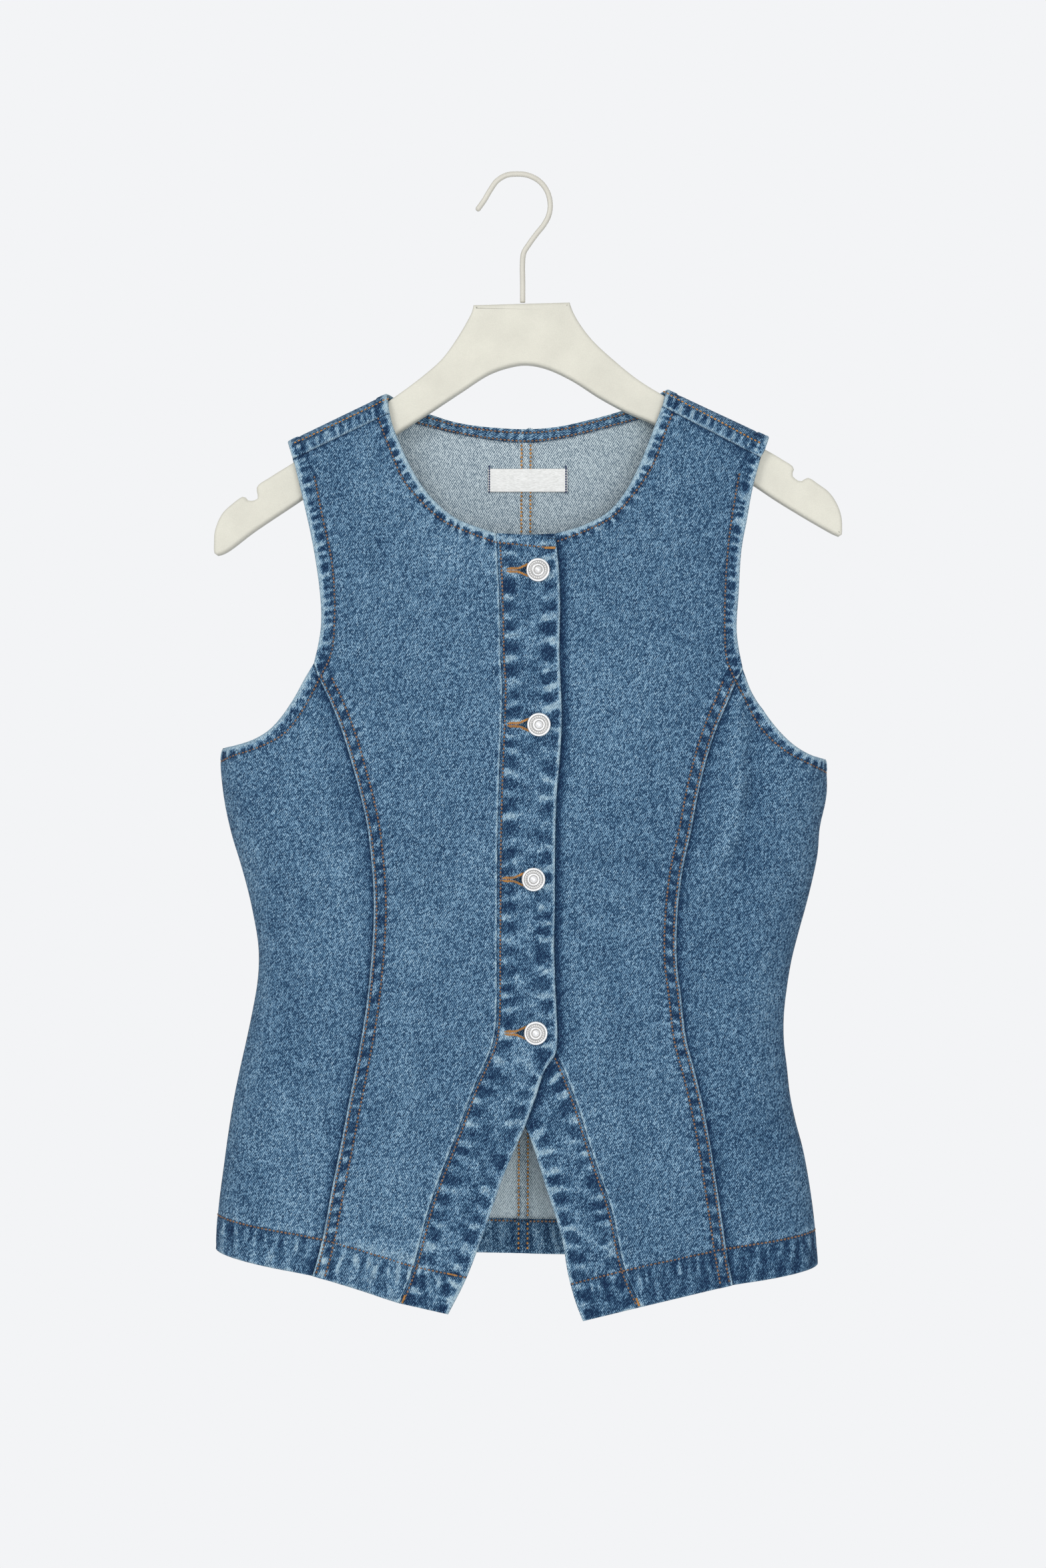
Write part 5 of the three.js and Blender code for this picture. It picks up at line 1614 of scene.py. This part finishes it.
def tack_threads():
    """Orange-brown thread: shoulder rows, centre back rows and bar tacks."""
    rows = []
    for half in (RIGHT, LEFT):
        name = half["name"]
        line = shoulder_seam(half, 7.8)
        rows.append(row_of_stitches(line, f"back_{name}", 130))
    for distance in DOUBLE_ROW:
        line = offset_line(CENTRE_SEAM, -distance, 1, 0.0, (10, 1.5))
        rows.append(row_of_stitches(line, "back_right", 132))
        inside = offset_line(CENTRE_SEAM, -distance, 1, 0.0, (9, 24))
        rows.append(row_of_stitches(inside, "centre_left", 134, width=1.5, under=WALL + FELL_WALL))
        lowest = offset_line(CENTRE_SEAM, -distance, 1, 0.0, (534, 2))
        on_turn = ON_STRIP + FELL_WALL
        rows.append(row_of_stitches(lowest, "centre_left", 135, width=1.5, under=on_turn))
    rows.append(tack_bar(20.9, -250.2, 0.0, "band_right", lap=1.0, length=6.8, seed=2))
    rows.append(tack_bar(-43.5, -727.5, -0.24, "band_right", lap=1.0, length=6, width=1.5, seed=3))
    rows.append(tack_bar(-75.2, -743.5, 1.2, "band_right", lap=1.0, length=5, width=1.5, seed=4))
    rows.append(tack_bar(78.4, -746, -1.2, "band_left", length=5, width=1.5, seed=5))
    return join(rows)


def buttonhole_threads():
    """Satin stitches round each buttonhole: two arms of upright stitches and a closed bar."""
    parts = []
    rng = np.random.default_rng(7)
    for bx, bz in BUTTONS:
        x = np.arange(button_x(bz) - HOLE_LENGTH, button_x(bz) + 2.6, 0.62)
        for side in (1, -1):
            z = bz + side * (hole_width(x, bz) + 1.05)
            spots = (x, z, -1.0, 1.0)
            points, normals = lay(*spots)
            count = len(x)
            along = np.tile([0.15 * side, 0, 1.0], (count, 1)) + rng.uniform(-0.2, 0.2, (count, 3))
            rise, _ = relief("band_right", points)
            centres = points + normals * (rise + 0.2)[:, None]
            taper = np.clip((x - (button_x(bz) - HOLE_LENGTH) + 1.2) / 3, 0.35, 1)
            lengths = 2.2 * taper * rng.uniform(0.8, 1.12, count)
            centres[:, 2] -= side * 0.5 * 1.05 * (1 - taper)
            parts.append(threads(centres, along, normals, lengths, 0.5, 0.6, 0.35))
    return join(parts)


def lathe(profile, count):
    """A turned body about an axis along -Y, from rows of radius and distance to the front, its
    first and last rows on the axis."""
    profile = np.array(profile, float)
    turn = np.arange(count) * 2 * np.pi / count
    ring = profile[1:-1]
    x = np.outer(ring[:, 0], np.cos(turn))
    z = np.outer(ring[:, 0], np.sin(turn))
    y = np.repeat(-ring[:, 1:2], count, 1)
    rings = np.stack([x, y, z], -1).reshape(-1, 3)
    points = np.vstack([[0, -profile[0, 1], 0], rings, [0, -profile[-1, 1], 0]])
    rows = len(ring)
    k = np.arange(count)
    n = (k + 1) % count
    faces = []
    for r in range(rows - 1):
        a = 1 + r * count
        faces.append(np.stack([a + k, a + count + k, a + count + n, a + n], 1))
    quads = np.concatenate(faces)
    last = 1 + (rows - 1) * count
    caps = np.concatenate([
        np.stack([np.zeros(count, int), k + 1, n + 1], 1),
        np.stack([np.full(count, last + count), last + n, last + k], 1),
    ])
    return points, quads, caps


def button(number, x, z):
    """A tack button: a ringed cap on a shank, and its tack behind the band. A fine radial ridge in
    the ring stands as the cosine of 24 times the angle."""
    front = float(depth(np.array(x), np.array(z), -1.0, 1.0))
    back = float(depth(np.array(x), np.array(z), -1.0, 0.0)) - BAND_WALL - 0.35
    cap = front + 0.55
    r = BUTTON_RADIUS
    rim = smooth_line([
        (r - 1.1, cap), (r - 0.35, cap + 0.25), (r, cap + 0.9), (r - 0.15, cap + 1.6),
        (r - 0.6, cap + 2.05),
        (r - 1.15, cap + 2.05), (r - 1.5, cap + 1.6), (r - 1.75, cap + 1.2), (r - 2.3, cap + 1.1),
        (r - 3.2, cap + 1.15), (r - 3.6, cap + 1.3), (r - 3.85, cap + 1.9), (r - 4.25, cap + 2.25),
        (r - 4.7, cap + 2.1), (r - 4.95, cap + 1.5), (2.6, cap + 1.2), (2.35, cap + 1.45), (2.1, cap + 2.1),
        (1.5, cap + 2.6), (0.8, cap + 2.9), (0.12, cap + 3.0),
    ], 64)
    rows = [
        (0, back - 1.2), (1.4, back - 1.15), (3.2, back - 1.0), (TACK_RADIUS, back - 0.6),
        (TACK_RADIUS, back - 0.15),
        (TACK_RADIUS - 0.4, back), (SHANK_RADIUS, back), (SHANK_RADIUS, cap - 0.02), (r - 2, cap - 0.02),
    ] + [tuple(p) for p in rim] + [(0, cap + 3.0)]
    count = 72
    points, quads, caps = lathe(rows, count)
    ring_r = np.hypot(points[:, 0], points[:, 2])
    angle = np.arctan2(points[:, 2], points[:, 0])
    recess = window(ring_r, r - 3.9, r - 1.9, 0.4) * (points[:, 1] < -cap - 0.8)
    points[:, 1] -= 0.12 * recess * np.cos(24 * angle)
    low = smooth((cap + 1.95 + points[:, 1]) / 0.8)
    points += np.array([x, 0, z])
    faces = np.concatenate([quads.ravel(), caps.ravel()])
    sizes = np.concatenate([np.full(len(quads), 4), np.full(len(caps), 3)])
    piece = add_mesh(f"metal_button_{number}", points, faces, ("nickel",), tone=low, sizes=sizes)
    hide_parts(f"button_{number}")
    return piece


def ribbon_label():
    """The bare label, sewn to the inside of the back."""
    columns, rows = 60, 20
    x = np.linspace(LABEL["x"][0], LABEL["x"][1], columns + 1)[None, :] * np.ones((rows + 1, 1))
    z = np.linspace(LABEL["z"][0], LABEL["z"][1], rows + 1)[:, None] * np.ones((1, columns + 1))
    piece, area = cloth_wall(
        "ribbon_label", (x, z, 1.0, 0.0), LABEL["wall"], ("ribbon", "ribbon"), "label",
        WALL + STRIP_GAP, inner_shows=True,
    )
    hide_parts("label")
    return piece, area


def label_thread():
    """One upright line of dark blue thread at each short end of the label."""
    parts = []
    for x in (LABEL["x"][0] + 0.9, LABEL["x"][1] - 0.9):
        z = np.arange(LABEL["z"][0] + 1.5, LABEL["z"][1] - 1.5, -1.7)
        points, normals = lay(np.full(len(z), x), z, 1.0, 0.0)
        rise, _ = relief("label", points)
        inside = points - normals * (WALL + STRIP_GAP + LABEL["wall"] + rise + 0.2)[:, None]
        along = np.tile([0.0, 0, 1.0], (len(z), 1))
        parts.append(threads(inside, along, -normals, 1.6, 1.1, 0.6, 0.1))
    return join(parts)


def moulded_hanger():
    """The hanger: a smooth outline with rounded edges, as rings inset towards two flat faces."""
    curve = smooth_line(HANGER_TOP + HANGER_LEFT, 420)
    outline = np.vstack([curve, even([curve[-1], curve[0]], 40)[1:-1]])
    ahead, behind = np.roll(outline, -1, 0), np.roll(outline, 1, 0)
    along = ahead - behind
    along /= np.linalg.norm(along, axis=1, keepdims=True)
    inward = np.stack([along[:, 1], -along[:, 0]], 1)
    x, z = outline[:, 0], outline[:, 1]
    turn = np.roll(x, -1) * z - x * np.roll(z, -1)
    if turn.sum() < 0:
        inward = -inward
    rings = []
    bevel = HANGER_BEVEL
    half = HANGER_THICKNESS / 2
    angles = np.linspace(0, np.pi / 2, 6)
    for side in (-1, 1):
        for a in (angles[::-1] if side < 0 else angles):
            inset = bevel * (1 - math.cos(a))
            y = side * (half - bevel + bevel * math.sin(a))
            ring = outline + inward * inset
            rings.append(np.stack([ring[:, 0], np.full(len(ring), y), ring[:, 1]], 1))
    points = np.concatenate(rings)
    n = len(outline)
    k = np.arange(n)
    nxt = (k + 1) % n
    quads = []
    for r in range(len(rings) - 1):
        quads.append(np.stack([r * n + k, (r + 1) * n + k, (r + 1) * n + nxt, r * n + nxt], 1))
    quads = np.concatenate(quads)
    cap = np.array(tessellate_polygon([[Vector((p[0], p[2], 0)) for p in rings[0]]]))
    last = (len(rings) - 1) * n
    faces = np.concatenate([quads.ravel(), cap.ravel(), (cap[:, ::-1] + last).ravel()])
    sizes = np.concatenate([np.full(len(quads), 4), np.full(2 * len(cap), 3)])
    piece = add_mesh("moulded_hanger", points, faces, ("hanger",), sizes=sizes)
    repair_normals(piece)
    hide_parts("hanger_body")
    return piece


def repair_normals(piece):
    """Turns all faces of a closed mesh outward."""
    bm = bmesh.new()
    bm.from_mesh(piece.data)
    bmesh.ops.recalc_face_normals(bm, faces=bm.faces)
    bm.to_mesh(piece.data)
    bm.free()


def wire_hook():
    """The hook: a round tube along the bent wire, closed by a dome at its free end."""
    line = smooth_line(WIRE, 150)
    points = np.stack([line[:, 0], np.zeros(len(line)), line[:, 1]], 1)
    along = np.gradient(points, axis=0)
    along /= np.linalg.norm(along, axis=1, keepdims=True)
    across = np.stack([along[:, 2], np.zeros(len(line)), -along[:, 0]], 1)
    radius = np.full(len(line), WIRE_RADIUS)
    dome = np.linspace(0, np.pi / 2, 7)[1:]
    tip = points[-1] + np.outer(np.sin(dome) * WIRE_RADIUS, along[-1])
    points = np.vstack([points, tip])
    across = np.vstack([across, np.repeat(across[-1:], 6, 0)])
    radius = np.concatenate([radius, np.maximum(WIRE_RADIUS * np.cos(dome), 0.02)])
    turn = np.arange(20) * np.pi / 10
    side = np.array([0, 1.0, 0])
    ring = points[:, None] + radius[:, None, None] * (
        np.cos(turn)[None, :, None] * across[:, None] + np.sin(turn)[None, :, None] * side
    )
    rows = len(points)
    k = np.arange(20)
    n = (k + 1) % 20
    quads = np.concatenate([
        np.stack([r * 20 + k, r * 20 + n, (r + 1) * 20 + n, (r + 1) * 20 + k], 1)
        for r in range(rows - 1)
    ])
    faces = np.concatenate([quads.ravel(), k[::-1], (rows - 1) * 20 + k])
    sizes = np.concatenate([np.full(len(quads), 4), [20, 20]])
    piece = add_mesh("coated_wire_hook", ring.reshape(-1, 3), faces, ("wire",), sizes=sizes)
    repair_normals(piece)
    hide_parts("hanger_hook")
    return piece


def make_floor(settings):
    """A plain pale round floor, well below the vest."""
    turn = np.arange(96) * 2 * np.pi / 96
    radius = settings.floor_radius * 1000
    drop = np.full(96, -settings.floor_drop * 1000)
    ring = np.stack([radius * np.cos(turn), radius * np.sin(turn), drop], 1)
    mesh = bpy.data.meshes.new("pale_floor")
    mesh.from_pydata((ring * 0.001).tolist(), [], [list(range(96))])
    material, tree, shader = new_material("pale_matte_floor")
    place = node(tree, "ShaderNodeTexCoord").outputs["Object"]
    grain = speckle(tree, place, 6.0, 5.0)
    tree.links.new(ramp(tree, grain, [(0.35, "#e2e3e4"), (0.65, "#e9eaeb")]), shader.inputs["Base Color"])
    shader.inputs["Roughness"].default_value = 0.9
    mesh.materials.append(material)
    floor = bpy.data.objects.new("pale_floor", mesh)
    bpy.context.scene.collection.objects.link(floor)


def area_light(name, place, aim, size, power):
    """A round soft light, turned to its aim."""
    light = bpy.data.lights.new(name, "AREA")
    light.shape, light.size, light.energy = "DISK", size, power
    lamp = bpy.data.objects.new(name, light)
    bpy.context.scene.collection.objects.link(lamp)
    lamp.location = place
    lamp.rotation_euler = (Vector(aim) - Vector(place)).to_track_quat("-Z", "Y").to_euler()


def make_lights(settings):
    """Soft studio light: a key from the upper left, a fill in front, one behind, and a pale sky."""
    aim = (0, 0, -0.42)
    area_light("key_light", (-1.5, -2.1, 1.05), aim, 1.3, settings.key_power)
    area_light("fill_light", (0.5, -2.3, -0.45), aim, 1.6, settings.fill_power)
    area_light("back_light", (0.4, 2.4, 0.9), aim, 2.4, settings.fill_power * 1.2)
    world = bpy.data.worlds.new("pale_studio")
    world.use_nodes = True
    tree = world.node_tree
    tree.nodes.clear()
    seen = node(tree, "ShaderNodeBackground", {"Color": linear("#f3f4f6"), "Strength": 1.0})
    lit = node(tree, "ShaderNodeBackground", {"Color": linear("#eef1f6"), "Strength": settings.sky_light})
    path = node(tree, "ShaderNodeLightPath").outputs["Is Camera Ray"]
    both = node(tree, "ShaderNodeMixShader", {0: path, 1: lit.outputs[0], 2: seen.outputs[0]})
    node(tree, "ShaderNodeOutputWorld", {"Surface": both.outputs[0]})
    bpy.context.scene.world = world
    bpy.context.scene.view_settings.view_transform = "Standard"


CAMERA_X, CAMERA_Z = 0.0031, -0.4059  # metres from the hook


def make_camera(settings):
    """The photograph's camera: level, square to the front, 1.6 m away."""
    data = bpy.data.cameras.new("photo_camera")
    data.lens, data.sensor_width, data.sensor_fit = settings.lens, 36.0, "AUTO"
    data.clip_start, data.clip_end = 0.05, 30
    camera = bpy.data.objects.new("photo_camera", data)
    bpy.context.scene.collection.objects.link(camera)
    camera.location = (CAMERA_X, -settings.camera_distance, CAMERA_Z)
    camera.rotation_euler = (math.pi / 2, 0, 0)
    bpy.context.scene.camera = camera


def to_hex(colour):
    """The sRGB hex form of a colour property."""
    back = [12.92 * c if c <= 0.0031308 else 1.055 * c ** (1 / 2.4) - 0.055 for c in colour[:3]]
    return "#%02x%02x%02x" % tuple(int(round(255 * max(0, min(1, c)))) for c in back)


class VestLook(bpy.types.PropertyGroup):
    face_colour: bpy.props.FloatVectorProperty(
        name="Denim colour", description="Mean colour of the washed face", subtype="COLOR",
        size=3, min=0, max=1, default=linear("#547696")[:3],
    )
    thread_colour: bpy.props.FloatVectorProperty(
        name="Topstitch colour", description="Colour of the copper-brown thread", subtype="COLOR",
        size=3, min=0, max=1, default=linear("#80614a")[:3],
    )

    def face_colour_hex(self):
        return to_hex(self.face_colour)

    def thread_hex(self):
        return to_hex(self.thread_colour)


class VestStage(bpy.types.PropertyGroup):
    floor_radius: bpy.props.FloatProperty(
        name="Floor radius", description="Radius of the pale floor", default=2.4, unit="LENGTH",
    )
    floor_drop: bpy.props.FloatProperty(
        name="Floor drop", description="How far the floor lies below the hook", default=1.9, unit="LENGTH",
    )
    key_power: bpy.props.FloatProperty(
        name="Key light", description="Power of the light from the upper left", default=26,
        unit="POWER",
    )
    fill_power: bpy.props.FloatProperty(
        name="Fill light", description="Power of the light from the front", default=22, unit="POWER",
    )
    sky_light: bpy.props.FloatProperty(
        name="Sky light", description="Strength of the even light from all round", default=0.52,
    )
    lens: bpy.props.FloatProperty(
        name="Lens", description="Focal length of the camera in millimetres", default=54.96, unit="CAMERA",
    )
    camera_distance: bpy.props.FloatProperty(
        name="Camera distance", description="From the hanger's plane to the camera", default=1.6,
        unit="LENGTH",
    )


BUILT = {}


class VEST_OT_stage(bpy.types.Operator):
    """Make the floor, the lights and the camera"""

    bl_idname = "vest.stage"
    bl_label = "Stage"

    def execute(self, context):
        settings = context.scene.vest_stage
        make_floor(settings)
        make_lights(settings)
        make_camera(settings)
        return {"FINISHED"}


class VEST_OT_hanger(bpy.types.Operator):
    """Make the moulded hanger and its wire hook"""

    bl_idname = "vest.hanger"
    bl_label = "Hanger and hook"

    def execute(self, context):
        materials(context.scene.vest_look)
        BUILT["hanger"] = moulded_hanger()
        BUILT["hook"] = wire_hook()
        return {"FINISHED"}


class VEST_OT_fronts(bpy.types.Operator):
    """Make the centre and side panels of the front"""

    bl_idname = "vest.fronts"
    bl_label = "Front and side panels"

    def execute(self, context):
        materials(context.scene.vest_look)
        for half in (RIGHT, LEFT):
            for kind, make in (("front", front_centre), ("side", front_side)):
                BUILT[f"{kind}_{half['name']}"] = make(half)
        return {"FINISHED"}


class VEST_OT_backs(bpy.types.Operator):
    """Make the two back panels, wrapped over the shoulders"""

    bl_idname = "vest.backs"
    bl_label = "Back panels"

    def execute(self, context):
        materials(context.scene.vest_look)
        for half in (RIGHT, LEFT):
            BUILT[f"back_{half['name']}"] = back_panel(half)
        return {"FINISHED"}


class VEST_OT_bands(bpy.types.Operator):
    """Make the two button bands"""

    bl_idname = "vest.bands"
    bl_label = "Button bands"

    def execute(self, context):
        materials(context.scene.vest_look)
        BUILT["band_right"] = overlap_band()
        BUILT["band_left"] = underlap_band()
        return {"FINISHED"}


class VEST_OT_strips(bpy.types.Operator):
    """Make the strips inside the neck, the armholes and the hem"""

    bl_idname = "vest.strips"
    bl_label = "Inner strips and hem"

    def execute(self, context):
        materials(context.scene.vest_look)
        BUILT["neck_strip"] = neck_strip()
        BUILT["armhole_strip_right"] = armhole_strip(RIGHT)
        BUILT["armhole_strip_left"] = armhole_strip(LEFT)
        BUILT["hem_strip"] = hem_strip()
        BUILT["centre_strip"], BUILT["centre_strip_hem"] = centre_strip()
        return {"FINISHED"}


class VEST_OT_threads(bpy.types.Operator):
    """Make the topstitching, the bar tacks and the buttonhole thread"""

    bl_idname = "vest.threads"
    bl_label = "Stitching"

    def execute(self, context):
        materials(context.scene.vest_look)
        for name, make, paint in (
            ("thread_topstitch", topstitches, "topstitch"),
            ("thread_orange", tack_threads, "tack"),
            ("thread_buttonholes", buttonhole_threads, "hole"),
        ):
            points, faces = make()
            piece = add_mesh(name, points, faces, (paint,))
            BUILT[name] = piece
        return {"FINISHED"}


class VEST_OT_buttons(bpy.types.Operator):
    """Make the four metal buttons"""

    bl_idname = "vest.buttons"
    bl_label = "Buttons"

    def execute(self, context):
        materials(context.scene.vest_look)
        for k, (x, z) in enumerate(BUTTONS):
            BUILT[f"button_{k + 1}"] = button(k + 1, x, z)
        return {"FINISHED"}


class VEST_OT_label(bpy.types.Operator):
    """Make the bare white label and its thread"""

    bl_idname = "vest.label"
    bl_label = "Label"

    def execute(self, context):
        materials(context.scene.vest_look)
        BUILT["label"] = ribbon_label()
        points, faces = label_thread()
        piece = add_mesh("thread_label", points, faces, ("navy",))
        BUILT["thread_label"] = piece
        return {"FINISHED"}


class VEST_OT_sheets(bpy.types.Operator):
    """Work out the size of the sheet that holds each panel's and band's cut"""

    bl_idname = "vest.sheets"
    bl_label = "Declare the cloth"

    def execute(self, context):
        for key in ("front_right", "front_left", "side_right", "side_left", "back_right",
                    "back_left", "band_right", "band_left"):
            piece, area = BUILT[key]
            sheet_size(piece, area)
        return {"FINISHED"}


class VEST_PT_panel(bpy.types.Panel):
    """Buttons that build the vest, and its settings"""

    bl_idname = "VEST_PT_panel"
    bl_label = "Denim vest"
    bl_space_type = "VIEW_3D"
    bl_region_type = "UI"
    bl_category = "Vest"

    def draw(self, context):
        for kind in STEPS:
            self.layout.operator(kind.bl_idname)
        for group in (context.scene.vest_look, context.scene.vest_stage):
            for key in group.bl_rna.properties.keys():
                if key not in ("name", "rna_type"):
                    self.layout.prop(group, key)


STEPS = (
    VEST_OT_stage, VEST_OT_hanger, VEST_OT_fronts, VEST_OT_backs, VEST_OT_bands, VEST_OT_strips,
    VEST_OT_threads, VEST_OT_buttons, VEST_OT_label, VEST_OT_sheets,
)
CLASSES = (VestLook, VestStage) + STEPS + (VEST_PT_panel,)


def register():
    for kind in CLASSES:
        bpy.utils.register_class(kind)
    bpy.types.Scene.vest_look = bpy.props.PointerProperty(type=VestLook)
    bpy.types.Scene.vest_stage = bpy.props.PointerProperty(type=VestStage)


def unregister():
    del bpy.types.Scene.vest_stage
    del bpy.types.Scene.vest_look
    for kind in reversed(CLASSES):
        bpy.utils.unregister_class(kind)


def main():
    register()
    for kind in STEPS:
        group, name = kind.bl_idname.split(".")
        getattr(getattr(bpy.ops, group), name)()


if __name__ == "__main__":
    main()
